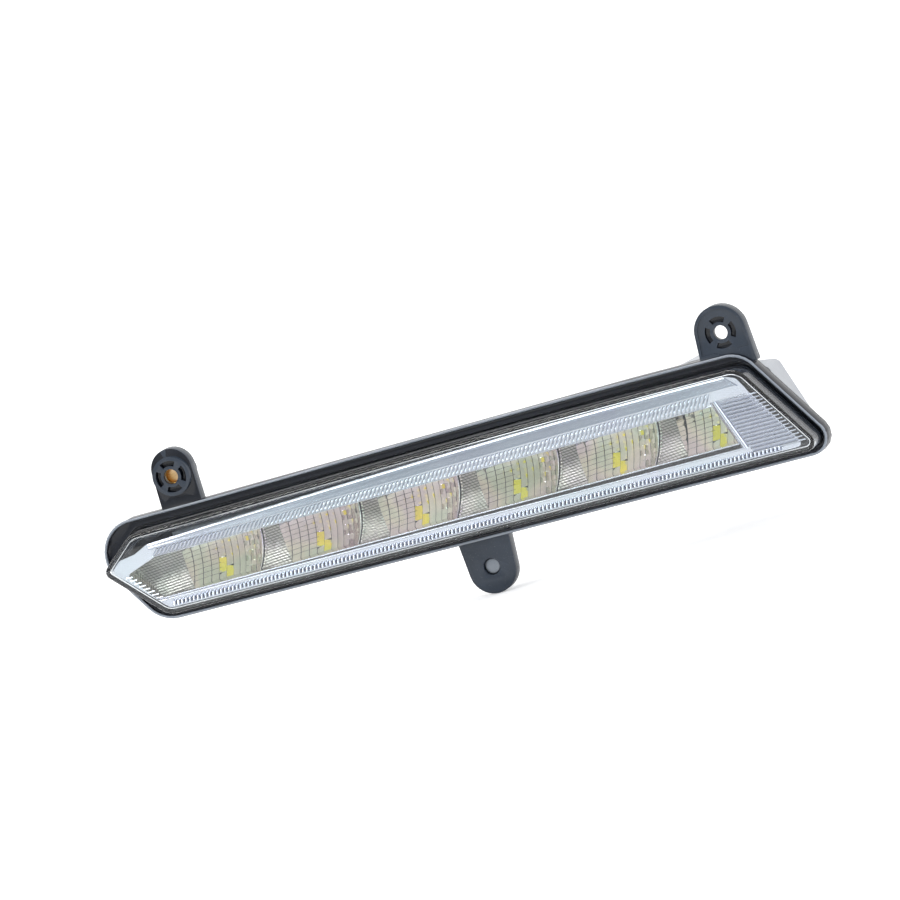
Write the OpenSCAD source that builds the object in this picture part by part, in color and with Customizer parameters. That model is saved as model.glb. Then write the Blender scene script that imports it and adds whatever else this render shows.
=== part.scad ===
// Daytime running light: slim lamp with six fluted reflector bowls behind a clear lens.
// X runs along the lamp, +Y is the rear, +Z is up. The origin is the bore of the right upper ear.

/* [Flange] */
// Length of the flange from its left end to its right end
flange_len = 348.5; // [340:0.5:370]
// How much higher the flange is at its right end than at its left
flange_rise = 4.5; // [4:0.1:6]
// Sideways lean of both ends for each millimetre of height
end_slant = 0.65; // [0.6:0.01:0.68]
// Depth of the flange from front to back
flange_t = 6; // [5.5:0.1:8]
// Radius of the large upper left corner
corner_r_left = 16.5; // [14:0.5:17]
// Radius of the upper right corner
corner_r_right = 15; // [12:0.5:18]
// Height of the raised lip round the flange
lip_h = 1.8; // [1:0.1:2.5]
// Width of the raised lip
lip_w = 1.3; // [1:0.1:1.6]

/* [Lens] */
// Distance from the flange face to the front of the lens
lens_depth = 14.5; // [14:0.1:16]
// Wall thickness of the lens
lens_wall = 2; // [1.6:0.1:2.2]
// Gap between the top of the flange and the top of the lens
lens_gap_top = 4.8; // [4.4:0.1:5.2]
// Gap between the bottom of the flange and the bottom of the lens
lens_gap_bottom = 3.2; // [3:0.1:3.6]
// Sideways gap between the right end of the flange and the lens
lens_gap_side = 2.9; // [2.8:0.1:3.4]
// Height from the pointed left tip of the lens to the top of the flange
lens_tip_drop = 19.8; // [19:0.1:21]
// Radius of the edge round the front of the lens
lens_edge_r = 1.6; // [1:0.1:2]
// Depth of the glue channel that holds the foot of the lens
channel_depth = 3.6; // [3:0.1:4]
// Width of the glue bead on the outer side of the foot
bead_w = 0.9; // [0.7:0.1:1]

/* [Reflector] */
// Number of reflector bowls
bowl_count = 6; // [4:1:6]
// Distance from the right end to the middle of the last bowl
last_bowl_inset = 48; // [47.5:0.1:50]
// Distance from the left end to the middle of the first bowl
first_bowl_x = 55.5; // [54.5:0.1:57]
// Focal length of the bowls
focal_len = 8; // [7.8:0.1:8.4]
// Depth of the deepest point of the bowls behind the flange face
bowl_depth = 16; // [15:0.1:16.4]
// Depth of the upper edge of the facet panels behind the flange face
panel_depth = 3.6; // [3:0.1:4]
// Focal length of the facet panels' curve
panel_focal = 12.4; // [12:0.1:14]
// Number of flutes in each bowl
flute_count = 12; // [10:2:14]
// Height of each flute's crown
flute_h = 0.35; // [0.2:0.05:0.5]
// Wall thickness of the reflector
reflector_wall = 2; // [1.8:0.1:2.2]
// Height of the reflector opening
window_h = 18.7; // [18:0.1:19.4]
// Height from the top of the opening to the top of the flange at its left end
window_margin = 16.6; // [16.3:0.1:16.9]
// Height of the opening's lower edge at the middle of the lamp
window_z = 13.8; // [13.5:0.1:14]
// Tilt of the optics along the lamp, in degrees
optic_tilt = 0.57; // [0.4:0.01:0.6]

/* [Bezel] */
// Distance from the flange face to the front of the bezel
bezel_front = 10.9; // [10.5:0.1:11.3]
// Thickness of the bezel plate
bezel_t = 2; // [1.8:0.1:2.2]
// Distance between the ribs of the end panel
rib_pitch = 1.7; // [1.5:0.1:2.2]
// Distance between the slanted ribs of the rope band
rope_pitch = 2.05; // [2:0.05:3]
// Distance between the knurls of the lower strip
knurl_pitch = 1.95; // [1.9:0.05:3]

/* [Ears] */
// Radius of the bore in the right ear
ear_bore_r = 3.25; // [2.7:0.05:3.4]
// Distance from the left end of the flange to the left bore
ear_left_inset = 42.5; // [38:0.5:46]
// Distance from the right end of the flange to the right bore
ear_right_inset = 35.5; // [34:0.5:40]
// Height of the two upper bores above the lower edge of the flange
ear_bore_z = 63.5; // [62:0.1:66]
// Radius of the rounded top of the right ear
ear_right_r = 12; // [11.5:0.1:12.5]
// Radius of the rounded top of the left ear
ear_left_r = 9.8; // [9.5:0.1:10.2]
// Depth of the ears from front to back
ear_depth = 6; // [5.5:0.1:7]
// Distance that the left ear's round boss stands proud of its face
boss_proud = 3; // [2:0.1:3.5]
// Length of the sleeve in the left ear
sleeve_len = 16; // [12:0.5:18]
// Wall thickness of the sleeve
sleeve_wall = 0.95; // [0.8:0.05:1.2]
// Distance from the left end of the flange to the locating pin
pin_x = 177.3; // [172:0.1:185]
// Depth of the pin below the lower edge of the flange
pin_drop = 13; // [12:0.5:15]
// Radius of the rounded end of the lower ear
lower_ear_r = 11.2; // [10.5:0.1:12]
// Radius of the locating pin
pin_r = 2.95; // [2.5:0.05:3]
// Free length of the locating pin behind the lower ear
pin_free = 12; // [8:0.5:14]

/* [Housing] */
// Wall thickness of the housing
wall = 2; // [1.8:0.1:2.2]
// Depth of the inside of the housing behind the flange face
tub_depth = 20; // [20:0.1:22]
// Depth of the driver cover behind the housing
cover_depth = 18; // [17:0.5:22]
// Distance from the left side of the driver cover to the last reflector screw
cover_margin = 7; // [6:0.5:8]
// Wall thickness of the driver cover
cover_wall = 2; // [1.8:0.1:2.4]

/* [Electrics] */
// Side of each light-emitting chip's package
led_size = 3.5; // [3:0.1:4]
// Height of the package
led_h = 0.7; // [0.6:0.05:0.8]
// Thickness of the circuit boards
board_t = 1.6; // [1.2:0.1:1.6]
// Width of the light board from front to back
board_w = 12.5; // [11:0.5:13]
// Radius of the leads
lead_r = 0.9; // [0.7:0.1:1]
// Width of the connector's cavity
socket_w = 17; // [15:0.5:20]
// Height of the connector's cavity
socket_h = 9; // [8:0.5:10]
// Depth of the connector's cavity
socket_depth = 14; // [13:0.5:16]
// Number of contact pins in the connector
contact_count = 3; // [2:1:4]

/* [Hidden] */
$fn = 48;

// Small gap that lets two pieces go together, and a little extra for cuts
fit_gap = 0.15;
cut = 1;

// Sizes that follow from the ones above
flange_h_left = window_z + window_h + window_margin;
flange_h_right = flange_h_left + flange_rise;
lens_tip_z = flange_h_left - lens_tip_drop;
bowl_pitch = (flange_len - last_bowl_inset - first_bowl_x) / (bowl_count - 1);

// Place of the right upper bore: the front of its wall is the part's origin
bore_x = flange_len - ear_right_inset;
bore_z = ear_bore_z;
ear_front = 1;

// Unit vector, and the outward normal of an edge of a counterclockwise outline
function unit(v) = v / norm(v);
function edge_normal(a, b) = unit([b.y - a.y, a.x - b.x]);

// Outline moved inwards by d, corner by corner
function inset(pts, d) = [
    for (i = [0 : len(pts) - 1])
        let (
            p = pts[i],
            before = edge_normal(pts[(i + len(pts) - 1) % len(pts)], p),
            after = edge_normal(p, pts[(i + 1) % len(pts)])
        )
        p - d * (before + after) / (1 + before * after)
];

// Points of a rounded corner at p between the neighbours a and b
corner_steps = 5;
function corner_arc(a, p, b, r) =
    r == 0 ? [p] :
    let (
        to_a = unit(a - p),
        to_b = unit(b - p),
        half = acos(to_a * to_b) / 2,
        centre = p + unit(to_a + to_b) * r / sin(half),
        start = p + to_a * r / tan(half) - centre,
        end = p + to_b * r / tan(half) - centre,
        from = atan2(start.y, start.x),
        turn_raw = atan2(end.y, end.x) - from,
        turn = turn_raw > 180 ? turn_raw - 360 : turn_raw < -180 ? turn_raw + 360 : turn_raw
    )
    [for (k = [0 : corner_steps])
        centre + r * [cos(from + turn * k / corner_steps), sin(from + turn * k / corner_steps)]];

// Corners [x, z, radius] moved inwards by d, with their radii kept concentric
function moved_corners(corners, d) =
    let (flat = [for (c = corners) [c.x, c.y]], inner = inset(flat, d))
    [for (i = [0 : len(corners) - 1])
        let (
            n = len(corners),
            a = flat[(i + n - 1) % n],
            b = flat[(i + 1) % n],
            hollow = cross(flat[i] - a, b - flat[i]) < 0,
            r = corners[i][2] + (hollow ? d : -d)
        )
        [inner[i].x, inner[i].y, corners[i][2] == 0 || r < 0.4 ? 0 : r]];

// Outline with rounded corners from a list of [x, z, radius]
function rounded(corners) = [
    for (i = [0 : len(corners) - 1])
        let (
            n = len(corners),
            a = corners[(i + n - 1) % n],
            p = corners[i],
            b = corners[(i + 1) % n]
        )
        each corner_arc([a.x, a.y], [p.x, p.y], [b.x, b.y], p[2])
];

// Height of the gently arched upper edge of the flange at x
arch_from = 17;
arch_to = flange_len - 45;
function arch_t(x, from, to) = max(0, min(1, (x - from) / (to - from)));
function top_z(x) =
    flange_h_left + (flange_h_right - flange_h_left) * pow(sin(90 * arch_t(x, arch_from, arch_to)), 1.2);

// The slanted ends: sharp corners that the rounded ones come from
end_angle = atan(1 / end_slant);
low_corner_r = 8.3;
left_top_x = -corner_r_left * (1 / tan(end_angle / 2) - 1);
left_low_x = left_top_x + end_slant * flange_h_left;
right_low_x = flange_len + low_corner_r * (1 / tan(end_angle / 2) - 1);
function right_edge(z) = right_low_x - end_slant * z;

arch_steps = 7;
function arch_points(from, to, drop) = [
    for (k = [1 : arch_steps - 1])
        let (x = to + (from - to) * k / arch_steps)
        [x, top_z(x) - drop, 0]
];

flange_corners = concat(
    [[left_low_x, 0, 16], [right_low_x, 0, low_corner_r]],
    [[right_edge(flange_h_right), flange_h_right, corner_r_right]],
    arch_points(22, right_edge(flange_h_right) - corner_r_right, 0),
    [[left_top_x, flange_h_left, corner_r_left]]);

// Outline of the lens
lens_low_x = left_low_x + 8.3;
lens_tip = [0.3, lens_tip_z];
lens_shoulder_x = left_low_x + 0.5;
lens_top_right = right_edge(flange_h_right - lens_gap_top) - lens_gap_side;
lens_corners = concat(
    [[lens_low_x, lens_gap_bottom, 10]],
    [[right_edge(lens_gap_bottom) - lens_gap_side, lens_gap_bottom, 5]],
    [[lens_top_right, flange_h_right - lens_gap_top, corner_r_right - 4]],
    arch_points(lens_shoulder_x + 10, lens_top_right - corner_r_right + 4, lens_gap_top),
    [[lens_shoulder_x, top_z(lens_shoulder_x) - lens_gap_top, 10], [lens_tip.x, lens_tip.y, 4]]);
lens_outline = rounded(lens_corners);

// Outline of the bezel inside the lens
bezel_low_z = lens_gap_bottom + 3.4;
bezel_edge = 7;
bezel_step_z = flange_h_right - 16.6;
function bezel_right(z) = right_edge(z) - lens_gap_side - bezel_edge - (bezel_step_z - z) * 0.03;
bezel_top_right = flange_h_right - 8.1;
bezel_shoulder = [lens_shoulder_x + 6.9, flange_h_left - 11.7];
bezel_arch_to = right_edge(bezel_top_right) - 13.5;
function bezel_arch(x) =
    bezel_shoulder.y + (bezel_top_right - bezel_shoulder.y) * sin(90 * arch_t(x, bezel_shoulder.x, bezel_arch_to));
bezel_outline = rounded(concat(
    [[lens_low_x + 1.2, bezel_low_z, 5], [bezel_right(bezel_low_z), bezel_low_z, 2]],
    [[bezel_right(bezel_step_z), bezel_step_z, 2], [bezel_right(bezel_step_z) - 1.5, bezel_step_z + 2.9, 2]],
    [[bezel_arch_to + 5.5, bezel_top_right - 2, 3], [bezel_arch_to, bezel_top_right, 3]],
    [for (k = [1 : arch_steps - 1])
        let (x = bezel_arch_to + (bezel_shoulder.x - bezel_arch_to) * k / arch_steps) [x, bezel_arch(x), 0]],
    [[bezel_shoulder.x, bezel_shoulder.y, 2], [lens_shoulder_x - 0.3, bezel_shoulder.y - 3.2, 1.5]],
    [[lens_tip.x + 8.9, bezel_shoulder.y - 4.6, 1]],
    [[lens_tip.x + 4.9, lens_tip_z - 0.7, 2.5]]));

// Window of the bezel, drawn before the optics are tilted
window_top = window_z + window_h;
window_right = right_edge(window_z) - 35.9;
window_slope = 0.37;
window_low_x = lens_low_x - 3.5;
window_outline = rounded([
    [window_low_x, window_z, 1.5],
    [window_right, window_z, 1],
    [window_right - window_slope * window_h, window_top, 1],
    [lens_shoulder_x + 9.2, window_top, 2],
    [lens_tip.x + 11.5, window_top - 5.2, 1.5]]);

// Outline of the reflector behind the window
roof_t = 1.5;
reflector_left = lens_tip.x + 10.4;
reflector_right = window_right + 2;
reflector_corners = [
    [window_low_x - 0.6, window_z - roof_t, 0],
    [reflector_right, window_z - roof_t, 0],
    [reflector_right - window_slope * (window_h + 2 * roof_t), window_top + roof_t, 0],
    [lens_shoulder_x + 7.7, window_top + roof_t, 0],
    [reflector_left, window_top - 5.1, 0]];

// Everything of the optics leans with the window
tilt_x = 181;
module tilted() {
    translate([tilt_x, 0, window_z])
        rotate([0, -optic_tilt, 0])
            translate([-tilt_x, 0, -window_z])
                children();
}

// The lamp is drawn from its lower left corner and moved to its origin
module placed() {
    translate([-bore_x, -ear_front - ear_rim_h, -bore_z])
        children();
}

// A flat outline in X and Z, made solid from y0 back to y1
module slab(y0, y1) {
    translate([0, y1, 0])
        rotate([90, 0, 0])
            linear_extrude(y1 - y0)
                children();
}

// A round bar along Y from y0 back to y1
module rod(x, z, r, y0, y1) {
    translate([x, y1, z])
        rotate([90, 0, 0])
            cylinder(r = r, h = y1 - y0);
}

// Outline of rounded corners, moved inwards by d
module outline(corners, d = 0) {
    polygon(rounded(moved_corners(corners, d)));
}

// A band between two insets of the same outline
module band(corners, outer, inner) {
    difference() {
        outline(corners, outer);
        outline(corners, inner);
    }
}

// Bowl positions along the lamp, and the places between them
function bowl_x(i) = first_bowl_x + bowl_pitch * i;
function between_x(i) = bowl_x(i) + bowl_pitch / 2;

// Tub behind the flange that holds the reflector
tub_right = window_right + 8.5;
tub_low = window_z - 5.6;
tub_corners = [
    [window_low_x - 1.2, tub_low, 3],
    [tub_right + 3, tub_low, 3],
    [tub_right - 6, window_top + 12.2, 3],
    [lens_shoulder_x + 14.5, window_top + 9.5, 3],
    [reflector_left - 3, window_top + 1.5, 3],
    [reflector_left - 3, window_top - 7.1, 3]];
tub_back = tub_depth + wall;

// Driver bay outline behind the right end
cover_left = between_x(bowl_count - 2) - cover_margin;
cover_step_z = flange_h_right - 10.6;
cover_top_z = flange_h_right - 1.6;
cover_corners = [
    [cover_left, 3, 3],
    [flange_len - 13.4, 3, 3],
    [flange_len - 25.8, cover_step_z - 1.3, 4],
    [bore_x, cover_step_z, 1],
    [bore_x, cover_top_z, 1.5],
    [cover_left + 18, cover_top_z, 4],
    [cover_left, cover_top_z - 4, 3]];
cover_y = tub_back + 0.8;
cover_back = cover_y + cover_depth;
cover_screw_places = [
    [cover_left + 5.6, 8.6],
    [cover_left + 5.6, cover_step_z],
    [bore_x - 6.1, cover_step_z + 1.4],
    [flange_len - 24.2, 8.6]];
screw_r = 1.5;
screw_head_r = 2.75;
screw_head_h = 2;
post_r = 3.4;

// Kidney-shaped pockets round a bore, four of them
kidney_in = 4.9;
kidney_out = 7.3;
kidney_span = 62;
module kidneys(x, z, y0, y1) {
    translate([x, y1, z])
        rotate([90, 0, 0])
            for (k = [0 : 3])
                rotate([0, 0, 90 * k - kidney_span / 2])
                    rotate_extrude(angle = kidney_span)
                        translate([kidney_in, 0])
                            square([kidney_out - kidney_in, y1 - y0]);
}

// Outline of an upper ear: straight sides that taper up into a round top
module ear_shape(r, base_half, base_z, lift) {
    union() {
        translate([0, lift])
            circle(r);
        polygon([
            [-base_half, base_z],
            [base_half, base_z],
            [r * cos(5), lift + r * sin(5)],
            [-r * cos(5), lift + r * sin(5)]]);
    }
}

ear_left_x = ear_left_inset;
ear_rim_w = 1.6;
ear_rim_h = 0.8;
ear_back = ear_front + ear_depth;
nut_r = 4.4;
bore_wall = 2.7;
boss_r = 9;
boss_front = ear_front - boss_proud;
sleeve_r = ear_bore_r + sleeve_wall;
sleeve_back = ear_front + sleeve_len;
pin_shank_r = pin_r + 0.45;
pin_recess_r = pin_shank_r + 0.5;
pin_front = ear_front + 1.6;
pin_show = 1.4;
pin_foot = ear_front + ear_depth;
pin_groove = 0.8;

module right_ear() {
    base = flange_h_right - ear_bore_z - 6;
    difference() {
        translate([bore_x, 0, bore_z])
            slab(ear_front, ear_back)
                ear_shape(ear_right_r, ear_right_r + 1.1, base, 0.5);
        translate([bore_x, 0, bore_z])
            slab(ear_front - cut, ear_front + ear_rim_h)
                ear_shape(ear_right_r - ear_rim_w, ear_right_r - ear_rim_w + 1, base + 7.5, 0.5);
        kidneys(bore_x, bore_z, ear_front - cut, ear_front + ear_rim_h + 2.2);
        rod(bore_x, bore_z, ear_bore_r, ear_front - cut, ear_back + cut);
        rod(bore_x, bore_z, nut_r, ear_front + ear_rim_h + bore_wall, ear_back + cut);
    }
}

module left_ear() {
    base = flange_h_left - ear_bore_z - 6;
    difference() {
        union() {
            translate([ear_left_x, 0, bore_z])
                slab(ear_front, ear_back)
                    ear_shape(ear_left_r, ear_left_r + 0.2, base, 2.6);
            rod(ear_left_x, bore_z, boss_r, boss_front, ear_back - cut);
            rod(ear_left_x, bore_z, sleeve_r + wall, ear_front, sleeve_back);
        }
        kidneys(ear_left_x, bore_z, boss_front - cut, boss_front + 3.4);
        rod(ear_left_x, bore_z, ear_bore_r + 0.15, boss_front - cut, ear_back);
        rod(ear_left_x, bore_z, sleeve_r, ear_front, sleeve_back + cut);
    }
}

module lower_ear() {
    difference() {
        translate([pin_x, 0, -pin_drop])
            slab(ear_front, ear_back)
                rotate(180)
                    ear_shape(lower_ear_r, lower_ear_r + 1.4, -pin_drop - 4, 1.2);
        rod(pin_x, -pin_drop, pin_recess_r, ear_front - cut, pin_front + pin_show);
        rod(pin_x, -pin_drop, pin_shank_r, ear_front, ear_back + cut);
    }
}

// Upstanding wall inside the lens
baffle_in = 3.3;
baffle_front = 7;
reflector_screw_places = [for (i = [0 : 2 : bowl_count - 2]) between_x(i)];
reflector_screw_z = window_z + 8;
vent_x = between_x(1);
vent_z = window_z + 8;
vent_r = 3;
grommet_x = cover_left + 20;
grommet_z = window_top + 5.5;
grommet_r = 4;
board_post_h = 3;
driver_screw_places = [
    [cover_left + 15, 14],
    [cover_left + 15, 29],
    [cover_left + 46, 14],
    [cover_left + 44, 29]];

module back_ribs() {
    // Upright ribs that stiffen the back of the flange below and above the tub
    for (i = [0 : bowl_count - 2]) {
        translate([between_x(i) - 0.8, flange_t - cut, lens_gap_bottom])
            cube([1.6, 8, tub_low - lens_gap_bottom + cut]);
        translate([between_x(i) - 0.8, flange_t - cut, window_top + 8])
            cube([1.6, 8, top_z(between_x(i)) - lens_gap_top - window_top - 8]);
    }
}

module housing() {
    color("#1b1d22")
        placed() {
            difference() {
                union() {
                    // Flange with its lip, glue channel and inner wall
                    slab(0, flange_t)
                        outline(flange_corners);
                    slab(-lip_h, cut)
                        band(flange_corners, 0, lip_w);
                    slab(-0.8, cut)
                        band(lens_corners, -bead_w - 1.1, -bead_w);
                    slab(-baffle_front, cut)
                        band(lens_corners, baffle_in, baffle_in + 1.6);
                    // Tub and the plate that the driver cover closes
                    slab(flange_t - cut, tub_back)
                        outline(tub_corners);
                    slab(tub_depth, tub_back)
                        outline(cover_corners);
                    slab(tub_back - cut, cover_y)
                        outline(cover_corners, cover_wall + fit_gap);
                    back_ribs();
                    right_ear();
                    left_ear();
                    lower_ear();
                    for (p = driver_screw_places)
                        rod(p.x, p.y, 2.6, tub_back, cover_y + board_post_h);
                    // Ribs from the flange to the driver plate
                    for (x = [cover_left + 14, cover_left + 34])
                        translate([x, flange_t - cut, window_top + 12])
                            cube([1.6, tub_depth - flange_t + 2 * cut, 4.6]);
                }
                // Glue channel
                slab(-cut, channel_depth)
                    band(lens_corners, -bead_w, lens_wall + 0.6);
                // Inside of the tub
                slab(-lens_depth, tub_depth)
                    outline(tub_corners, wall);
                // Holes in the back wall, with room for the screw head under the driver board
                tilted()
                    for (x = reflector_screw_places) {
                        rod(x, reflector_screw_z, screw_r + 0.2, tub_depth - cut, tub_back + cut);
                        rod(x, reflector_screw_z, screw_head_r + 0.2, tub_back, cover_y + cut);
                    }
                rod(vent_x, vent_z, vent_r, tub_depth - cut, tub_back + cut);
                rod(grommet_x, grommet_z, grommet_r, tub_depth - cut, cover_y + cut);
                for (p = cover_screw_places)
                    rod(p.x, p.y, screw_r, tub_depth - cut, cover_y + cut);
                for (p = driver_screw_places)
                    rod(p.x, p.y, 1.1, cover_y - cut, cover_y + board_post_h + cut);
            }
        }
}

// Closed skin through rings of equal length, from the first ring to the last
function ring_faces(n, first, second, flip) = [
    for (i = [0 : n - 1])
        let (
            a = first + i,
            b = first + (i + 1) % n,
            c = second + (i + 1) % n,
            d = second + i
        )
        each flip ? [[a, b, c], [a, c, d]] : [[c, b, a], [d, c, a]]
];

function at_depth(pts, y) = [for (p = pts) [p.x, y, p.y]];

lens_draft = 0.6;
lens_foot = channel_depth - 0.3;

module lens() {
    n = len(lens_outline);
    rings = [
        at_depth(lens_outline, lens_foot),
        at_depth(lens_outline, 0),
        at_depth(inset(lens_outline, lens_draft), lens_edge_r - lens_depth),
        at_depth(inset(lens_outline, lens_draft + 0.3 * lens_edge_r), 0.3 * lens_edge_r - lens_depth),
        at_depth(inset(lens_outline, lens_draft + lens_edge_r), -lens_depth),
        at_depth(inset(lens_outline, lens_wall), lens_foot),
        at_depth(inset(lens_outline, lens_wall), 0),
        at_depth(inset(lens_outline, lens_wall + lens_draft), lens_edge_r + lens_wall - lens_depth),
        at_depth(inset(lens_outline, lens_wall + lens_draft + 1), lens_wall - lens_depth)];
    color("#dfe6ee", 0.35)
        placed()
            polyhedron(
                points = [for (r = rings) each r],
                faces = concat(
                    [for (k = [0 : 3]) each ring_faces(n, k * n, (k + 1) * n, true)],
                    [for (k = [5 : 7]) each ring_faces(n, k * n, (k + 1) * n, false)],
                    ring_faces(n, 0, 5 * n, false),
                    [[for (i = [0 : n - 1]) 4 * n + i]],
                    [[for (i = [n - 1 : -1 : 0]) 8 * n + i]]));
}

module sealant_bead() {
    color("#2a2a2c")
        placed()
            slab(0.4, channel_depth)
                band(lens_corners, -bead_w, 0);
}

// Front surface of the reflector: bowls with flutes, and facet panels between them
function bowl_y(u, w) = bowl_depth - (u * u + w * w) / (4 * focal_len);
bowl_half = sqrt(4 * focal_len * (bowl_depth - panel_depth));
flute_w = 2 * bowl_half / flute_count;
function flute_crown(u) =
    let (s = (u + bowl_half) / flute_w, part = s - floor(s) - 0.5)
    flute_h * (1 - 4 * part * part);
function panel_y(w) = panel_depth - w * w / (4 * panel_focal);
function nearest_bowl(x) = max(0, min(bowl_count - 1, round((x - first_bowl_x) / bowl_pitch)));
function mirror_y(x, z) =
    let (u = x - bowl_x(nearest_bowl(x)), w = z - window_top)
    max(panel_y(w), bowl_y(u, w) - flute_crown(u));

mirror_columns = concat(
    [reflector_left, (reflector_left + bowl_x(0) - bowl_half) / 2],
    [for (i = [0 : bowl_count - 1])
        for (k = [0 : 2 * flute_count])
            let (x = bowl_x(i) - bowl_half + k * flute_w / 2)
            if (x < reflector_right - 1) x],
    [reflector_right]);
mirror_rows = 8;

// Thin curved wall of the reflector
module mirror_wall() {
    nx = len(mirror_columns);
    nz = mirror_rows + 1;
    low = window_z - roof_t / 2;
    high = window_top + roof_t / 2;
    rows = [for (j = [0 : mirror_rows]) low + (high - low) * j / mirror_rows];
    front = [for (x = mirror_columns) for (z = rows) [x, mirror_y(x, z), z]];
    back = [for (p = front) p + [0, reflector_wall, 0]];
    shift = nx * nz;
    function quad(a, b, c, d) = [[a, b, c], [a, c, d]];
    polyhedron(
        points = concat(front, back),
        faces = concat(
            [for (i = [0 : nx - 2]) for (j = [0 : nz - 2])
                let (a = i * nz + j) each quad(a, a + 1, a + nz + 1, a + nz)],
            [for (i = [0 : nx - 2]) for (j = [0 : nz - 2])
                let (a = i * nz + j + shift) each quad(a, a + nz, a + nz + 1, a + 1)],
            [for (i = [0 : nx - 2])
                let (a = i * nz) each quad(a, a + nz, a + nz + shift, a + shift)],
            [for (i = [0 : nx - 2])
                let (a = i * nz + nz - 1) each quad(a, a + shift, a + nz + shift, a + nz)],
            [for (j = [0 : nz - 2]) each quad(j, j + shift, j + 1 + shift, j + 1)],
            [for (j = [0 : nz - 2])
                let (a = (nx - 1) * nz + j) each quad(a, a + 1, a + 1 + shift, a + shift)]));
}

led_y = bowl_depth - focal_len;
roof_back = bowl_depth + reflector_wall - 0.5;
reflector_front = bezel_t - bezel_front;
board_screw_places = [for (i = [0 : bowl_count - 2]) if (i != 2) between_x(i)];
board_screw_y = led_y + 1;

module reflector() {
    color("#b9bcc0")
        placed()
            tilted()
                difference() {
                    union() {
                        intersection() {
                            union() {
                                mirror_wall();
                                // Floor, end walls and roof
                                slab(reflector_front, panel_depth + roof_t)
                                    band(reflector_corners, 0, roof_t);
                                translate([reflector_left, reflector_front, window_top])
                                    cube([reflector_right - reflector_left, roof_back - reflector_front, roof_t]);
                            }
                            slab(reflector_front, tub_depth)
                                outline(reflector_corners);
                        }
                        // Bosses that reach back to the housing, and bosses for the board screws
                        for (x = reflector_screw_places)
                            rod(x, reflector_screw_z, 3.4, panel_y(window_h - 8) + 1, tub_depth);
                        for (x = board_screw_places)
                            translate([x, board_screw_y, window_top - 7])
                                cylinder(r = 2.8, h = 8);
                    }
                    for (i = [0 : bowl_count - 1])
                        translate([bowl_x(i) - 3, led_y - 3, window_top - cut])
                            cube([6, 6, roof_t + 2 * cut]);
                    for (x = reflector_screw_places)
                        rod(x, reflector_screw_z, 1.2, tub_depth - 9, tub_depth + cut);
                    for (x = board_screw_places)
                        translate([x, board_screw_y, window_top - 6])
                            cylinder(r = 1.2, h = 10);
                }
}

// Strip of slanted ridges between two lines, as one closed mesh
module ridge_strip(x0, x1, pitch, lean, low, high, base_y, height) {
    n = floor((x1 - x0) / pitch) * 2;
    function ridge(i) = base_y - 0.15 - (i % 2) * height;
    pts = [
        for (i = [0 : n])
            let (x = x0 + (x1 - x0 - lean) * i / n)
            each [
                [x, ridge(i), low[0] + (low[1] - low[0]) * i / n],
                [x + lean, ridge(i), high[0] + (high[1] - high[0]) * i / n],
                [x + lean, base_y + 0.3, high[0] + (high[1] - high[0]) * i / n],
                [x, base_y + 0.3, low[0] + (low[1] - low[0]) * i / n]
            ]
    ];
    polyhedron(
        points = pts,
        faces = concat(
            [for (i = [0 : n - 1]) for (k = [0 : 3])
                let (a = 4 * i + k, b = 4 * i + (k + 1) % 4)
                each [[a, b, b + 4], [a, b + 4, a + 4]]],
            [[3, 2, 1, 0], [4 * n, 4 * n + 1, 4 * n + 2, 4 * n + 3]]));
}

rib_h = 0.7;
bar_w = 3.6;
bead_drops = [0.6, 2.9];
bead_rise = 0.5;
function bar_x(z) = window_right + window_slope * (window_z - z);

module end_ribs() {
    // Fine horizontal ribs of the right end panel, and the teeth past its edge
    count = floor((bezel_step_z - 3 - bezel_low_z) / rib_pitch);
    for (k = [0 : count]) {
        z = bezel_low_z + 2.2 + k * rib_pitch;
        translate([bar_x(z) + bar_w + 0.6, -bezel_front + 0.2, z])
            rotate([90, 0, 90])
                linear_extrude(bezel_right(z) - bar_x(z) - bar_w + 2.6)
                    polygon([
                        [0, -0.6],
                        [0, 0.6],
                        [-rib_h, 0]]);
    }
}

module left_teeth() {
    // Short teeth between the left end of the window and the edge of the bezel
    for (k = [0 : 8]) {
        z = bezel_low_z + 4 + k * rib_pitch;
        translate([lens_tip.x + 5.4 + (lens_tip_z - z) * 0.98, -bezel_front + 0.2, z])
            rotate([90, 0, 90])
                linear_extrude(4.2)
                    polygon([
                        [0, -0.5],
                        [0, 0.5],
                        [-0.6, 0]]);
    }
}

// Ridge between the smooth band and the rope band
ridge_z_left = bezel_shoulder.y - 2.3;
ridge_z_right = window_top + 8;

module bezel() {
    face = -bezel_front;
    color("#c5cad6")
        placed()
            difference() {
                union() {
                    slab(face, face + bezel_t)
                        polygon(bezel_outline);
                    end_ribs();
                    left_teeth();
                    tilted() {
                        // Beads below the window and the bright bar at its right end
                        for (drop = bead_drops)
                            translate([23 + drop * 1.5, face - bead_rise, window_z - drop - bead_rise])
                                cube([window_right - 30, bead_rise + 0.4, 2 * bead_rise]);
                        slab(face - 1.1, face + 0.4)
                            polygon([
                                [window_right + 0.3, window_z - 0.3],
                                [window_right + bar_w + 0.8, window_z - 2.4],
                                [bar_x(window_top) + bar_w, window_top + 3],
                                [bar_x(window_top) + 0.3, window_top]]);
                    }
                    ridge_strip(30, bar_x(window_top) - 2, rope_pitch, 3.2,
                        [window_top - 0.9, window_top + 1.9], [ridge_z_left, ridge_z_right - 0.6], face, 0.8);
                    ridge_strip(32, bezel_right(bezel_low_z) - 16, knurl_pitch, 0.8,
                        [bezel_low_z + 0.4, bezel_low_z + 0.4], [bezel_low_z + 1.9, bezel_low_z + 3.2], face, 0.7);
                }
                tilted()
                    slab(face - 3, face + bezel_t + cut)
                        polygon(window_outline);
            }
}

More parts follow.
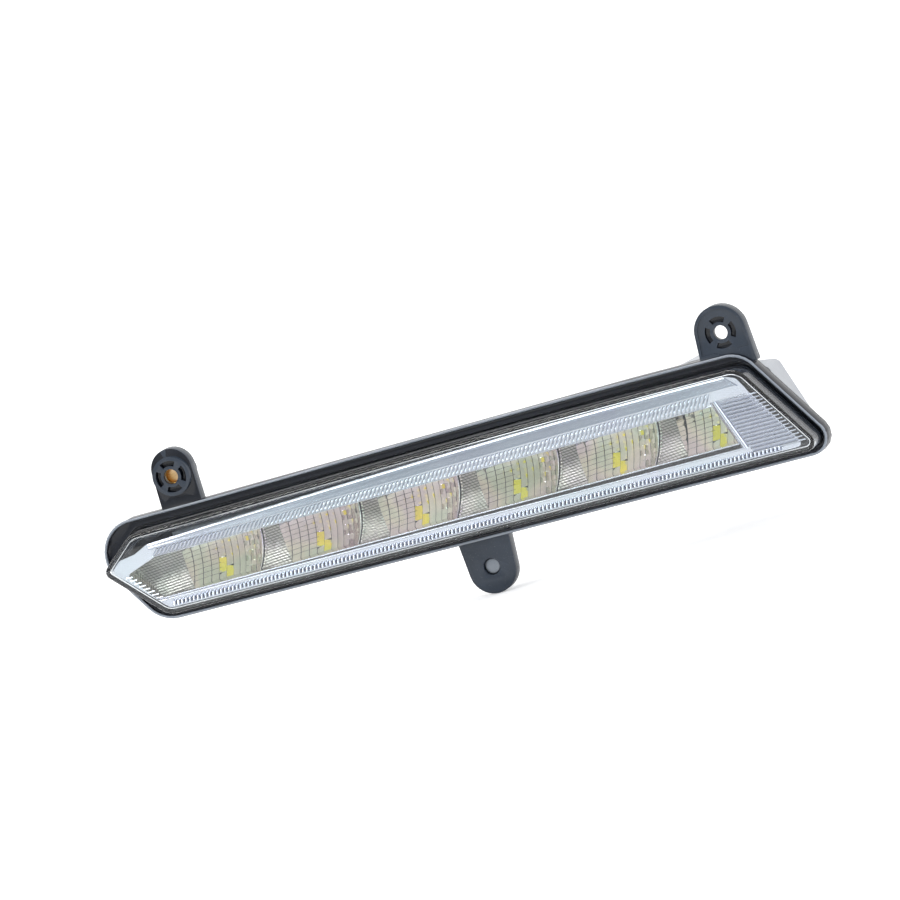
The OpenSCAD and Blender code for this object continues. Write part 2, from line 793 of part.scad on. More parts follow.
// Light board, hung above the roof of the reflector
board_left = bowl_x(0) - 22;
board_right = bowl_x(bowl_count - 1) + 8;
board_low = window_top + roof_t;
board_high = board_low + board_t;
board_front = led_y - board_w / 2;
pad_t = 0.5;
pad_len = board_right - board_left - 25;
spreader_low = board_high + pad_t;

module board_drill() {
    for (x = board_screw_places)
        translate([x, board_screw_y, board_low - cut])
            cylinder(r = screw_r + 0.2, h = 8);
}

module led_board() {
    color("#e8ece6")
        placed()
            tilted()
                difference() {
                    translate([board_left, board_front, board_low])
                        cube([board_right - board_left, board_w, board_t]);
                    board_drill();
                }
}

module led(i) {
    color("#e6dd4e")
        placed()
            tilted()
                translate([bowl_x(i) - led_size / 2, led_y - led_size / 2, board_low - led_h])
                    cube([led_size, led_size, led_h]);
}

module thermal_pad() {
    color("#8e9aa8")
        placed()
            tilted()
                difference() {
                    translate([board_left + 1, board_front + 0.5, board_high])
                        cube([pad_len, board_w - 1, pad_t]);
                    board_drill();
                }
}

module heat_spreader() {
    fins = 4;
    base_t = 1.6;
    fin_h = 2.2;
    width = board_w + 1;
    color("#a7abb0")
        placed()
            tilted()
                difference() {
                    translate([board_left + 1, board_front - 0.5, spreader_low])
                        rotate([90, 0, 90])
                            linear_extrude(pad_len)
                                union() {
                                    square([width, base_t]);
                                    for (k = [0 : fins - 1])
                                        translate([k * (width - 1.2) / (fins - 1), 0])
                                            square([1.2, base_t + fin_h]);
                                }
                    board_drill();
                    for (x = board_screw_places)
                        translate([x, board_screw_y, spreader_low + base_t])
                            cylinder(r = screw_head_r + 0.3, h = 6);
                }
}

module board_screws() {
    color("#9aa0a8")
        placed()
            tilted()
                for (x = board_screw_places)
                    translate([x, board_screw_y, spreader_low + 1.6])
                        union() {
                            cylinder(r = screw_head_r, h = screw_head_h - 0.4);
                            translate([0, 0, -6])
                                cylinder(r = 1.2, h = 7);
                        }
}

module reflector_screws() {
    color("#9aa0a8")
        placed()
            tilted()
                for (x = reflector_screw_places)
                    union() {
                        rod(x, reflector_screw_z, screw_head_r, tub_back, tub_back + screw_head_h);
                        rod(x, reflector_screw_z, 1.15, tub_depth - 6, tub_back + cut);
                    }
}

module board_terminal() {
    color("#f0f0ea")
        placed()
            tilted()
                translate([board_right - 9, board_front + 2, board_high])
                    cube([7, 8, 3.4]);
}

module driver_cover() {
    color("#d6d9dd")
        placed()
            difference() {
                union() {
                    slab(cover_y, cover_back)
                        outline(cover_corners);
                    // Stiffening ribs on the back
                    for (z = [16, 36])
                        translate([cover_left + 4, cover_back - cut, z])
                            cube([8, cut + 1, 1.6]);
                }
                difference() {
                    slab(cover_y - cut, cover_back - cover_wall)
                        outline(cover_corners, cover_wall);
                    for (p = cover_screw_places)
                        rod(p.x, p.y, post_r, cover_y, cover_back);
                }
                for (p = cover_screw_places) {
                    rod(p.x, p.y, screw_r + 0.2, cover_y - cut, cover_back + cut);
                    rod(p.x, p.y, screw_head_r + 0.25, cover_back - 3, cover_back + cut);
                }
                slab(cover_back - cover_wall - cut, cover_back + cut)
                    translate([socket_x - socket_w / 2 - 1, socket_z - socket_h / 2 - 1])
                        square([socket_w + 2, socket_h + 2]);
            }
}

module cover_gasket() {
    color("#3a3d42")
        placed()
            slab(tub_back, cover_y)
                band(cover_corners, 0, cover_wall);
}

module cover_screws() {
    color("#9aa0a8")
        placed()
            for (p = cover_screw_places)
                union() {
                    rod(p.x, p.y, screw_head_r, cover_back - 3, cover_back - 0.6);
                    rod(p.x, p.y, screw_r - 0.05, tub_back, cover_back - 2);
                }
}

driver_y = cover_y + board_post_h;
driver_back = driver_y + board_t;
terminal_top = 32.5;
socket_x = cover_left + 32;
socket_z = cover_step_z - 10;
seat_w = 2;
seal_w = 1.2;

module driver_board() {
    color("#2f6b3f")
        placed()
            difference() {
                slab(driver_y, driver_back)
                    polygon([
                        [cover_left + 11, 10],
                        [cover_left + 50, 10],
                        [cover_left + 50, 33],
                        [cover_left + 11, 33]]);
                for (p = driver_screw_places)
                    rod(p.x, p.y, 1.3, driver_y - cut, driver_back + cut);
            }
}

module driver_screws() {
    color("#9aa0a8")
        placed()
            for (p = driver_screw_places)
                union() {
                    rod(p.x, p.y, 2, driver_back, driver_back + 1.4);
                    rod(p.x, p.y, 1.05, cover_y, driver_back + cut);
                }
}

module driver_inductor() {
    color("#3b3b3e")
        placed()
            union() {
                rod(cover_left + 41, 20.5, 5, driver_back, driver_back + 1.2);
                rod(cover_left + 41, 20.5, 3.4, driver_back, driver_back + 5.8);
                rod(cover_left + 41, 20.5, 5, driver_back + 4.6, driver_back + 5.8);
            }
}

module driver_capacitor(x, z) {
    color("#4a4f9a")
        placed()
            rod(x, z, 3.2, driver_back, driver_back + 7);
}

module driver_chip(x, z, w, h, t) {
    color("#26282c")
        placed()
            translate([x, driver_back, z])
                cube([w, t, h]);
}

module driver_terminal() {
    color("#f0f0ea")
        placed()
            translate([cover_left + 20, driver_back, terminal_top - 6])
                cube([9, 5, 6]);
}

// Lead through given points: straight runs with mitred bends, as one closed mesh
lead_sides = 12;
function lead_ring(pts, i) =
    let (
        n = len(pts),
        before = unit(pts[max(i, 1)] - pts[max(i, 1) - 1]),
        after = unit(pts[min(i, n - 2) + 1] - pts[min(i, n - 2)]),
        along = unit(before + after),
        side = unit(cross(along, [0.3, 0.1, 1])),
        up = cross(side, along),
        bend = norm(after - before) < 0.001 ? side : unit(after - before),
        stretch = 2 / norm(before + after) - 1
    )
    [for (k = [0 : lead_sides - 1])
        let (v = lead_r * (cos(360 * k / lead_sides) * side + sin(360 * k / lead_sides) * up))
        pts[i] + v + bend * (v * bend) * stretch];

module lead(pts) {
    n = lead_sides;
    last = len(pts) - 1;
    polyhedron(
        points = [for (i = [0 : last]) each lead_ring(pts, i)],
        faces = concat(
            [for (i = [0 : last - 1]) each ring_faces(n, i * n, (i + 1) * n, false)],
            [[for (k = [0 : n - 1]) k]],
            [[for (k = [n - 1 : -1 : 0]) last * n + k]]));
}

// Both leads run from the light board's terminal, through the grommet, to the driver board
lead_gap = 1.4;
terminal_x = board_right - 5.5;
terminal_z = board_high + 1.7 + (terminal_x - tilt_x) * sin(optic_tilt);
terminal_y = board_front + 10;
function lead_route(side) = [
    [terminal_x + side * lead_gap, terminal_y, terminal_z],
    [terminal_x + side * lead_gap, tub_depth - 3.5 + side, terminal_z],
    [grommet_x + side * lead_gap, tub_depth - 3.5 + side, grommet_z],
    [grommet_x + side * lead_gap, driver_back + 2.5, grommet_z],
    [grommet_x + 4 + side * lead_gap, driver_back + 2.5, terminal_top + 2],
    [grommet_x + 4 + side * lead_gap, driver_back + 2.5, terminal_top]];

module lead_grommet() {
    color("#2d2d30")
        placed()
            difference() {
                union() {
                    rod(grommet_x, grommet_z, grommet_r, tub_depth - 1, cover_y + 1);
                    rod(grommet_x, grommet_z, grommet_r + 1.2, cover_y, cover_y + 1);
                }
                for (side = [-1, 1])
                    rod(grommet_x + side * lead_gap, grommet_z, lead_r, tub_depth - 2, cover_y + 2);
            }
}

module connector_socket() {
    out = cover_back + socket_depth;
    color("#232427")
        placed()
            difference() {
                union() {
                    translate([socket_x - socket_w / 2 - 1 + fit_gap, cover_back - cover_wall - 3, 0])
                        translate([0, 0, socket_z - socket_h / 2 - 1 + fit_gap])
                            cube([
                                socket_w + 2 - 2 * fit_gap,
                                socket_depth + cover_wall + 3,
                                socket_h + 2 - 2 * fit_gap]);
                    // Flange that seats on the back of the cover
                    translate([socket_x - socket_w / 2 - seat_w, cover_back, socket_z - socket_h / 2 - seat_w])
                        cube([socket_w + 2 * seat_w, 1.8, socket_h + 2 * seat_w]);
                    // Latch ramp on top
                    translate([socket_x - 3, out - 5, socket_z + socket_h / 2])
                        cube([6, 3, 2]);
                }
                translate([socket_x - socket_w / 2, cover_back + 0.4, socket_z - socket_h / 2])
                    cube([socket_w, socket_depth + cut, socket_h]);
                for (i = [0 : contact_count - 1])
                    translate([contact_x(i) - 0.4, cover_back - cover_wall - 4, socket_z - 0.4])
                        cube([0.8, 8, 0.8]);
            }
}

function contact_x(i) = socket_x + (i - (contact_count - 1) / 2) * 4.5;

module connector_contacts() {
    color("#c9a95a")
        placed()
            for (i = [0 : contact_count - 1])
                translate([contact_x(i) - 0.4, cover_back - cover_wall - 3, socket_z - 0.4])
                    cube([0.8, cover_wall + 3 + 6.5, 0.8]);
}

module connector_seal() {
    color("#c8662e")
        placed()
            slab(cover_back, cover_back + 0.9)
                translate([socket_x, socket_z])
                    difference() {
                        square([socket_w + 2 * (seat_w + seal_w), socket_h + 2 * (seat_w + seal_w)], center = true);
                        square([socket_w + 2 * seat_w, socket_h + 2 * seat_w], center = true);
                    }
}

module vent_cap() {
    color("#303236")
        placed()
            difference() {
                union() {
                    rod(vent_x, vent_z, vent_r - 0.05, tub_depth, tub_back + cut);
                    rod(vent_x, vent_z, vent_r + 3, tub_back, tub_back + 3.2);
                }
                rod(vent_x, vent_z, vent_r - 1, tub_depth - cut, tub_back + 1.6);
                for (a = [0 : 60 : 300])
                    translate([vent_x, tub_back + 1, vent_z])
                        rotate([0, a, 0])
                            translate([vent_r - 1.5, 0, -0.5])
                                cube([6, 0.6, 1]);
            }
}

module vent_membrane() {
    color("#f2f2f0")
        placed()
            rod(vent_x, vent_z, vent_r - 1.05, tub_back + 1.3, tub_back + 1.6);
}

module ear_sleeve() {
    color("#c8a25a")
        placed()
            difference() {
                rod(ear_left_x, bore_z, sleeve_r, ear_front, sleeve_back);
                rod(ear_left_x, bore_z, ear_bore_r, ear_front - cut, sleeve_back + cut);
            }
}

module locating_pin() {
    color("#8d9399")
        placed() {
            // Shank pressed into the ear, relief groove behind it, and the free end
            rod(pin_x, -pin_drop, pin_shank_r, pin_front, pin_foot);
            rod(pin_x, -pin_drop, pin_r - 0.4, pin_foot - cut, pin_foot + pin_groove + cut);
            rod(pin_x, -pin_drop, pin_r, pin_foot + pin_groove, pin_foot + pin_free);
        }
}

housing();
lens();
sealant_bead();
bezel();
reflector();
led_board();
for (i = [1 : bowl_count])
    led(i - 1);
thermal_pad();
heat_spreader();
board_screws();
reflector_screws();
board_terminal();
driver_cover();
cover_gasket();
cover_screws();
driver_board();
driver_screws();
driver_inductor();
driver_capacitor(cover_left + 20.5, 15.5);  // driver_capacitor_1
driver_capacitor(cover_left + 28.5, 15.5);  // driver_capacitor_2
driver_chip(cover_left + 34, 27, 6.5, 5, 2.3);  // driver_regulator
driver_chip(cover_left + 20, 21, 4.5, 3, 2);  // driver_diode
driver_terminal();
color("#a8322c") placed() lead(lead_route(-1));  // lead_positive
color("#222224") placed() lead(lead_route(1));  // lead_negative
lead_grommet();
connector_socket();
connector_contacts();
connector_seal();
vent_cap();
vent_membrane();
ear_sleeve();
locating_pin();
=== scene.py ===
"""Looks of the daytime running light: lens, reflector, bezel, mouldings and their finishes."""

from __future__ import annotations

import logging
import math
from dataclasses import dataclass, field
from enum import Enum
from typing import Callable, Sequence

import bpy
from mathutils import Matrix, Vector


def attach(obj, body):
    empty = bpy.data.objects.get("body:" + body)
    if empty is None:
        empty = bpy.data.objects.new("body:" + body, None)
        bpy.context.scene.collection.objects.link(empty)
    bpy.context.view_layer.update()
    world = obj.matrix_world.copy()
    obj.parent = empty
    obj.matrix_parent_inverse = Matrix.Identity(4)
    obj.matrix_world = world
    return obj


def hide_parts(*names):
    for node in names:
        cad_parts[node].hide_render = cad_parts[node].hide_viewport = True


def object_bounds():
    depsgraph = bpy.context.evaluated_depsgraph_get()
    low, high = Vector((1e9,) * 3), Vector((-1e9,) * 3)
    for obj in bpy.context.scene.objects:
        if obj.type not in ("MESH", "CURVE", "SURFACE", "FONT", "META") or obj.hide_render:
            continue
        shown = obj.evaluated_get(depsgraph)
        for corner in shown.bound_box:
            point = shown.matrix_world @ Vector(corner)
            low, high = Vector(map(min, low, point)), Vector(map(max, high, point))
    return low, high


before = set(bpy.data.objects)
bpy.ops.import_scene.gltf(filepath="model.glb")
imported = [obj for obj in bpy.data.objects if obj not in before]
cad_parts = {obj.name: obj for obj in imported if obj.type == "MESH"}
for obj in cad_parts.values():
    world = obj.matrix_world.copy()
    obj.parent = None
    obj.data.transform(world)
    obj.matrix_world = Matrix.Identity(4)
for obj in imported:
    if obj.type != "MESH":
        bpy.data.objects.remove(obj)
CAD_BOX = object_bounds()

log = logging.getLogger("running_light")

Point = tuple[float, float]
Point3 = tuple[float, float, float]
Corner = tuple[float, float, float]
Columns = list[list[Point3]]
Values = dict[str | int, object]
Obj = bpy.types.Object
Face = bpy.types.MeshPolygon
Material = bpy.types.Material
Tree = bpy.types.NodeTree
Socket = bpy.types.NodeSocket

# Lamp coordinates (mm from the flange's lower left corner, y from its face) of the part's origin
BORE_X, BORE_Y, BORE_Z = 313.0, 1.8, 63.5

# Doubles closer than this, in metres, are merged
MERGE = 2e-6

# The photograph's view, in degrees to the lamp's right and above it
VIEW_AZIMUTH, VIEW_ELEVATION = 20.0, 6.0


# ---------------------------------------------------------------- drawing helpers


def place(x: float, y: float, z: float) -> Point3:
    """Returns a point of lamp coordinates in millimetres as metres in the part's frame."""
    return ((x - BORE_X) / 1000, (y - BORE_Y) / 1000, (z - BORE_Z) / 1000)


def middle_of(face: Face) -> Point3:
    """Returns the middle of a face in lamp coordinates."""
    x, y, z = face.center * 1000
    return (x + BORE_X, y + BORE_Y, z + BORE_Z)


def even(low: float, high: float, steps: int) -> list[float]:
    """Returns steps + 1 evenly spaced values from low to high."""
    return [low + (high - low) * k / steps for k in range(steps + 1)]


def half_round(steps: int) -> list[Point]:
    """Returns the cosine and sine of steps + 1 angles over half a turn."""
    return [(math.cos(t), math.sin(t)) for t in (math.pi * k / steps for k in range(steps + 1))]


def to_camera() -> Vector:
    """Returns the direction from the lamp to the photograph's camera."""
    a, e = math.radians(VIEW_AZIMUTH), math.radians(VIEW_ELEVATION)
    return Vector((math.sin(a) * math.cos(e), -math.cos(a) * math.cos(e), math.sin(e)))


def add_object(name: str, data: bpy.types.ID) -> Obj:
    """Adds an object with the data to the scene."""
    obj = bpy.data.objects.new(name, data)
    bpy.context.scene.collection.objects.link(obj)
    return obj


def pick(*objects: Obj) -> None:
    """Selects only these objects, the first one active, because operators act on all selected."""
    bpy.ops.object.select_all(action="DESELECT")
    for obj in objects:
        obj.select_set(True)
    if objects:
        bpy.context.view_layer.objects.active = objects[0]


def edit(obj: Obj, *steps: Callable[[], object]) -> None:
    """Runs each step in edit mode on the whole mesh of obj."""
    pick(obj)
    bpy.ops.object.mode_set(mode="EDIT")
    for step in steps:
        bpy.ops.mesh.select_all(action="SELECT")
        step()
    bpy.ops.object.mode_set(mode="OBJECT")


def smooth(obj: Obj, degrees: float) -> None:
    """Shades obj smooth, with edges sharper than the angle kept crisp."""
    pick(obj)
    bpy.ops.object.shade_smooth_by_angle(angle=math.radians(degrees))


def sheet_mesh(
    name: str,
    points: Sequence[Point3],
    faces: Sequence[Sequence[int]],
    edges: Sequence[tuple[int, int]] = (),
) -> Obj:
    """Makes a mesh object from lamp coordinates.

    Computed surfaces (paraboloids, ribs, lofts) have no operator that draws them.

    Args:
        name: Name of the piece.
        points: Points in lamp coordinates, in millimetres.
        faces: Vertex numbers of each face.
        edges: Vertex numbers of each edge that no face has.

    Returns:
        The new object, at the origin.
    """
    mesh = bpy.data.meshes.new(name)
    mesh.from_pydata([place(*p) for p in points], edges, faces)
    mesh.update()
    return add_object(name, mesh)


def outward(obj: Obj) -> Obj:
    """Merges doubles, turns all faces of a closed mesh outwards, and returns it."""
    edit(
        obj,
        lambda: bpy.ops.mesh.remove_doubles(threshold=MERGE),
        lambda: bpy.ops.mesh.normals_make_consistent(inside=False),
    )
    return obj


def ring_faces(rings: int, size: int, closed: bool) -> list[tuple[int, ...]]:
    """Returns the faces between rings of points.

    Args:
        rings: Number of rings.
        size: Number of points in each ring.
        closed: True joins the last ring to the first; False closes both ends with a cap.
    """
    faces = []
    for k in range(rings if closed else rings - 1):
        low, high = k * size, (k + 1) % rings * size
        for i in range(size):
            j = (i + 1) % size
            faces.append((low + i, low + j, high + j, high + i))
    if not closed:
        faces += [tuple(reversed(range(size))), tuple(range((rings - 1) * size, rings * size))]
    return faces


def ring_mesh(name: str, rings: Columns, closed: bool) -> Obj:
    """Makes a closed skin over rings of points."""
    points = [p for ring in rings for p in ring]
    return outward(sheet_mesh(name, points, ring_faces(len(rings), len(rings[0]), closed)))


def join(name: str, objects: Sequence[Obj]) -> Obj:
    """Joins objects into the first one and names it."""
    pick(*objects)
    if len(objects) > 1:
        bpy.ops.object.join()
    objects[0].name = objects[0].data.name = name
    return objects[0]


def loft(name: str, columns: Columns, back: float | None = None) -> Obj:
    """Makes a closed strip: a lofted front with a flat back and side walls.

    Args:
        name: Name of the piece.
        columns: Columns of points in lamp coordinates, each of the same length.
        back: Depth of the flat back; None leaves 1 mm behind each point.

    Returns:
        The closed object.
    """
    rows, count = len(columns[0]), len(columns)
    front = [p for column in columns for p in column]
    rear = [(x, y + 1 if back is None else back, z) for x, y, z in front]
    shift = len(front)
    faces: list[tuple[int, ...]] = []
    for i in range(count - 1):
        for j in range(rows - 1):
            a = i * rows + j
            quad = (a, a + rows, a + rows + 1, a + 1)
            faces += [quad, tuple(shift + k for k in reversed(quad))]
    border = (
        [i * rows for i in range(count)]
        + [(count - 1) * rows + j for j in range(1, rows)]
        + [i * rows + rows - 1 for i in range(count - 2, -1, -1)]
        + list(range(rows - 2, 0, -1))
    )
    for a, b in zip(border, border[1:] + border[:1]):
        faces.append((b, a, a + shift, b + shift))
    return outward(sheet_mesh(name, front + rear, faces))


# ---------------------------------------------------------------- outlines of the lamp


def unit(v: Point) -> Point:
    """Returns the vector with a length of one."""
    size = math.hypot(*v)
    return (v[0] / size, v[1] / size)


def inset(points: Sequence[Point], d: float) -> list[Point]:
    """Returns an anticlockwise outline moved inwards by d, corner by corner."""
    out = []
    n = len(points)
    for i, p in enumerate(points):
        a, b = points[i - 1], points[(i + 1) % n]
        n1 = unit((p[1] - a[1], a[0] - p[0]))
        n2 = unit((b[1] - p[1], p[0] - b[0]))
        k = d / (1 + n1[0] * n2[0] + n1[1] * n2[1])
        out.append((p[0] - k * (n1[0] + n2[0]), p[1] - k * (n1[1] + n2[1])))
    return out


def rounded(corners: Sequence[Corner], steps: int = 12) -> list[Point]:
    """Returns an outline with an arc at each corner (x, z, radius)."""
    out: list[Point] = []
    n = len(corners)
    for i, (x, z, r) in enumerate(corners):
        if r == 0:
            out.append((x, z))
            continue
        a, b = corners[i - 1], corners[(i + 1) % n]
        to_a = unit((a[0] - x, a[1] - z))
        to_b = unit((b[0] - x, b[1] - z))
        half = math.acos(to_a[0] * to_b[0] + to_a[1] * to_b[1]) / 2
        mid = unit((to_a[0] + to_b[0], to_a[1] + to_b[1]))
        cx, cz = x + mid[0] * r / math.sin(half), z + mid[1] * r / math.sin(half)
        leg = r / math.tan(half)
        start = math.atan2(z + to_a[1] * leg - cz, x + to_a[0] * leg - cx)
        turn = math.atan2(z + to_b[1] * leg - cz, x + to_b[0] * leg - cx) - start
        turn = (turn + math.pi) % (2 * math.pi) - math.pi
        for t in even(start, start + turn, steps):
            out.append((cx + r * math.cos(t), cz + r * math.sin(t)))
    return out


@dataclass(frozen=True)
class LampForm:
    """Named sizes of the lamp, in millimetres, as in the part's source."""

    flange_len: float = 348.5
    flange_left: float = 49.1
    flange_right: float = 53.6
    slant: float = 0.65
    lens_depth: float = 14.5
    lens_wall: float = 2.0
    lens_draft: float = 0.6
    lens_edge: float = 1.6
    gap_top: float = 4.8
    gap_bottom: float = 3.2
    gap_side: float = 2.9
    tip_z: float = 29.3
    channel: float = 3.6
    window_z: float = 13.8
    window_h: float = 18.7
    window_slope: float = 0.37
    slot: float = 2.6
    tilt: float = math.radians(0.57)
    tilt_x: float = 181.0
    bezel_front: float = -10.9
    bezel_t: float = 2.0
    bezel_shoulder: Point = (25.4, 37.4)
    corner_left: float = 16.5
    corner_right: float = 15.0
    corner_low_right: float = 8.3

    @property
    def window_top(self) -> float:
        """Height of the window's upper edge."""
        return self.window_z + self.window_h

    @property
    def half_corner(self) -> float:
        """Tangent of half the angle at the slanted lower corners."""
        return math.tan(math.atan(1 / self.slant) / 2)

    @property
    def right_low(self) -> float:
        """Sharp lower right corner of the flange."""
        return self.flange_len + self.corner_low_right * (1 / self.half_corner - 1)

    @property
    def left_low(self) -> float:
        """Sharp lower left corner of the flange."""
        return self.slant * self.flange_left - self.corner_left * (1 / self.half_corner - 1)

    def right_edge(self, z: float) -> float:
        """Returns where the slanted right end stands at height z."""
        return self.right_low - self.slant * z

    @property
    def window_right(self) -> float:
        """Lower right corner of the window."""
        return self.right_edge(self.window_z) - 35.9

    @property
    def bezel_crown(self) -> Point:
        """Right end and height of the bezel's arched upper edge."""
        top = self.flange_right - 8.1
        return (self.right_edge(top) - 13.5, top)

    @property
    def bezel_low(self) -> float:
        """Height of the bezel's lower edge."""
        return self.gap_bottom + 3.4

    def top_z(self, x: float) -> float:
        """Returns the height of the flange's arched upper edge at x."""
        t = max(0.0, min(1.0, (x - 17) / (self.flange_len - 45 - 17)))
        rise = self.flange_right - self.flange_left
        return self.flange_left + rise * math.sin(math.pi / 2 * t) ** 1.2

    def tilted(self, x: float, z: float) -> Point:
        """Returns a point of the optics after their slight lean along the lamp."""
        c, s = math.cos(self.tilt), math.sin(self.tilt)
        dx, dz = x - self.tilt_x, z - self.window_z
        return (self.tilt_x + dx * c - dz * s, self.window_z + dx * s + dz * c)

    def lens_corners(self) -> list[Corner]:
        """Returns the corners of the lens outline."""
        top = self.flange_right - self.gap_top
        low_r = self.right_edge(self.gap_bottom) - self.gap_side
        top_r = self.right_edge(top) - self.gap_side
        shoulder = self.left_low + 0.5
        arch = even(top_r - self.corner_right + 4, shoulder + 10, 14)[1:-1]
        return (
            [(self.left_low + 8.3, self.gap_bottom, 10.0), (low_r, self.gap_bottom, 5.0)]
            + [(top_r, top, self.corner_right - 4)]
            + [(x, self.top_z(x) - self.gap_top, 0.0) for x in arch]
            + [(shoulder, self.top_z(shoulder) - self.gap_top, 10.0), (0.3, self.tip_z, 4.0)]
        )

    def opening(self, lower: Sequence[Corner], grow: float = 0.0) -> list[Point]:
        """Returns the tilted outline of the window over two lower corners, grown by some mm."""
        top = self.window_top
        upper = [
            (self.window_right - self.window_slope * self.window_h, top, 1.0),
            (self.left_low + 9.7, top, 2.0),
            (11.8, top - 5.2, 1.5),
        ]
        return [self.tilted(*p) for p in inset(rounded([*lower, *upper], 5), -grow)]

    def window_outline(self, grow: float) -> list[Point]:
        """Returns the outline of the window, grown by some millimetres."""
        z = self.window_z
        return self.opening([(self.left_low + 4.8, z, 1.5), (self.window_right, z, 1.0)], grow)

    def plate_outline(self) -> list[Point]:
        """Returns the opening of the bezel plate, with the open slot under the window."""
        left = (self.left_low + 4.8, self.window_z - 0.9, 1.0)
        right = self.window_right + self.slot * self.window_slope
        return self.opening([left, (right, self.window_z - self.slot, 0.6)])

    def bezel_right(self, z: float) -> float:
        """Returns the right edge of the bezel at height z."""
        return self.right_edge(z) - self.gap_side - 7 - (37 - z) * 0.03

    def bezel_top(self, x: float) -> float:
        """Returns the height of the bezel's arched upper edge at x."""
        (start, low), (end, top) = self.bezel_shoulder, self.bezel_crown
        t = max(0.0, min(1.0, (x - start) / (end - start)))
        return low + (top - low) * math.sin(math.pi / 2 * t)

    def bezel_outline(self) -> list[Point]:
        """Returns the outline of the bezel plate."""
        low = self.bezel_low
        (start, shoulder), (end, top) = self.bezel_shoulder, self.bezel_crown
        return rounded(
            [(self.left_low + 9.5, low, 5.0), (self.bezel_right(low), low, 2.0)]
            + [(self.bezel_right(37), 37.0, 2.0), (self.bezel_right(37) - 1.5, 39.9, 2.0)]
            + [(end + 5.5, top - 2, 3.0), (end, top, 3.0)]
            + [(x, self.bezel_top(x), 0.0) for x in even(end, start, 16)[1:-1]]
            + [(start, shoulder, 2.0), (18.2, 34.2, 1.5), (9.2, 32.8, 1.0)]
            + [(5.2, self.tip_z - 0.7, 2.5)],
            5,
        )


FORM = LampForm()


# ---------------------------------------------------------------- finishes


def linear(code: str) -> tuple[float, float, float, float]:
    """Returns an sRGB hex colour as linear values."""
    raw = [int(code.lstrip("#")[i : i + 2], 16) / 255 for i in (0, 2, 4)]
    low = [c / 12.92 if c <= 0.04045 else ((c + 0.055) / 1.055) ** 2.4 for c in raw]
    return (low[0], low[1], low[2], 1.0)


def add_node(tree: Tree, kind: str, values: Values | None = None) -> bpy.types.Node:
    """Adds a node to a tree.

    Args:
        tree: The tree of the material or world.
        kind: Blender's name of the node type.
        values: Values by property name, input name or input number; a socket is linked.

    Returns:
        The new node.
    """
    node = tree.nodes.new(kind)
    for key, value in (values or {}).items():
        if not isinstance(key, int) and key not in node.inputs:
            setattr(node, key, value)
        elif isinstance(value, Socket):
            tree.links.new(value, node.inputs[key])
        else:
            node.inputs[key].default_value = value
    return node


def new_tree(name: str) -> tuple[Material, Tree]:
    """Returns an empty material of that name and its node tree."""
    material = bpy.data.materials.new(name)
    material.use_nodes = True
    material.node_tree.nodes.clear()
    return material, material.node_tree


def noise(
    tree: Tree, where: Socket, scale: float, detail: float = 2.0, rough: float = 0.5
) -> Socket:
    """Returns a cloudy value, scale clouds to the metre."""
    values = {"Vector": where, "Scale": scale, "Detail": detail, "Roughness": rough}
    return add_node(tree, "ShaderNodeTexNoise", values).outputs["Fac"]


def remap(tree: Tree, value: Socket, low: float, high: float, **source: float) -> Socket:
    """Returns a value of 0 to 1 (or of from_min to from_max) spread from low to high."""
    values = {
        "Value": value,
        "From Min": source.get("from_min", 0.0),
        "From Max": source.get("from_max", 1.0),
        "To Min": low,
        "To Max": high,
    }
    return add_node(tree, "ShaderNodeMapRange", values).outputs["Result"]


def tones(tree: Tree, value: Socket, *stops: tuple[float, str]) -> Socket:
    """Returns the colour that a value has between stops of places and hex colours."""
    node = add_node(tree, "ShaderNodeValToRGB", {"Fac": value})
    band = node.color_ramp
    while len(band.elements) < len(stops):
        band.elements.new(0.5)
    for element, (at, code) in zip(band.elements, stops):
        element.position = at
        element.color = linear(code)
    return node.outputs["Color"]


def blend(tree: Tree, share: object, first: object, second: object) -> Socket:
    """Returns a mix of two colours; each value is a socket or a constant."""
    values = {"data_type": "RGBA", 0: share, 6: first, 7: second}
    return add_node(tree, "ShaderNodeMix", values).outputs[2]


def relief(tree: Tree, height: Socket, strength: float, distance: float) -> Socket:
    """Returns the normal of a surface with that height."""
    values = {"Height": height, "Strength": strength, "Distance": distance}
    return add_node(tree, "ShaderNodeBump", values).outputs["Normal"]


@dataclass(frozen=True)
class Surface:
    """A finish made of one Principled surface; each kind says what feeds it."""

    name: str

    def values(self, tree: Tree, where: Socket) -> Values:
        """Returns the surface's values.

        Args:
            tree: The material's tree.
            where: The place on the object.
        """
        raise NotImplementedError

    def outcome(self, _tree: Tree, shader: bpy.types.Node) -> Socket:
        """Returns what the material shows of its surface."""
        return shader.outputs[0]

    def build(self) -> Material:
        """Returns the material."""
        material, tree = new_tree(self.name)
        where = add_node(tree, "ShaderNodeTexCoord").outputs["Object"]
        shader = add_node(tree, "ShaderNodeBsdfPrincipled", self.values(tree, where))
        add_node(tree, "ShaderNodeOutputMaterial", {"Surface": self.outcome(tree, shader)})
        return material


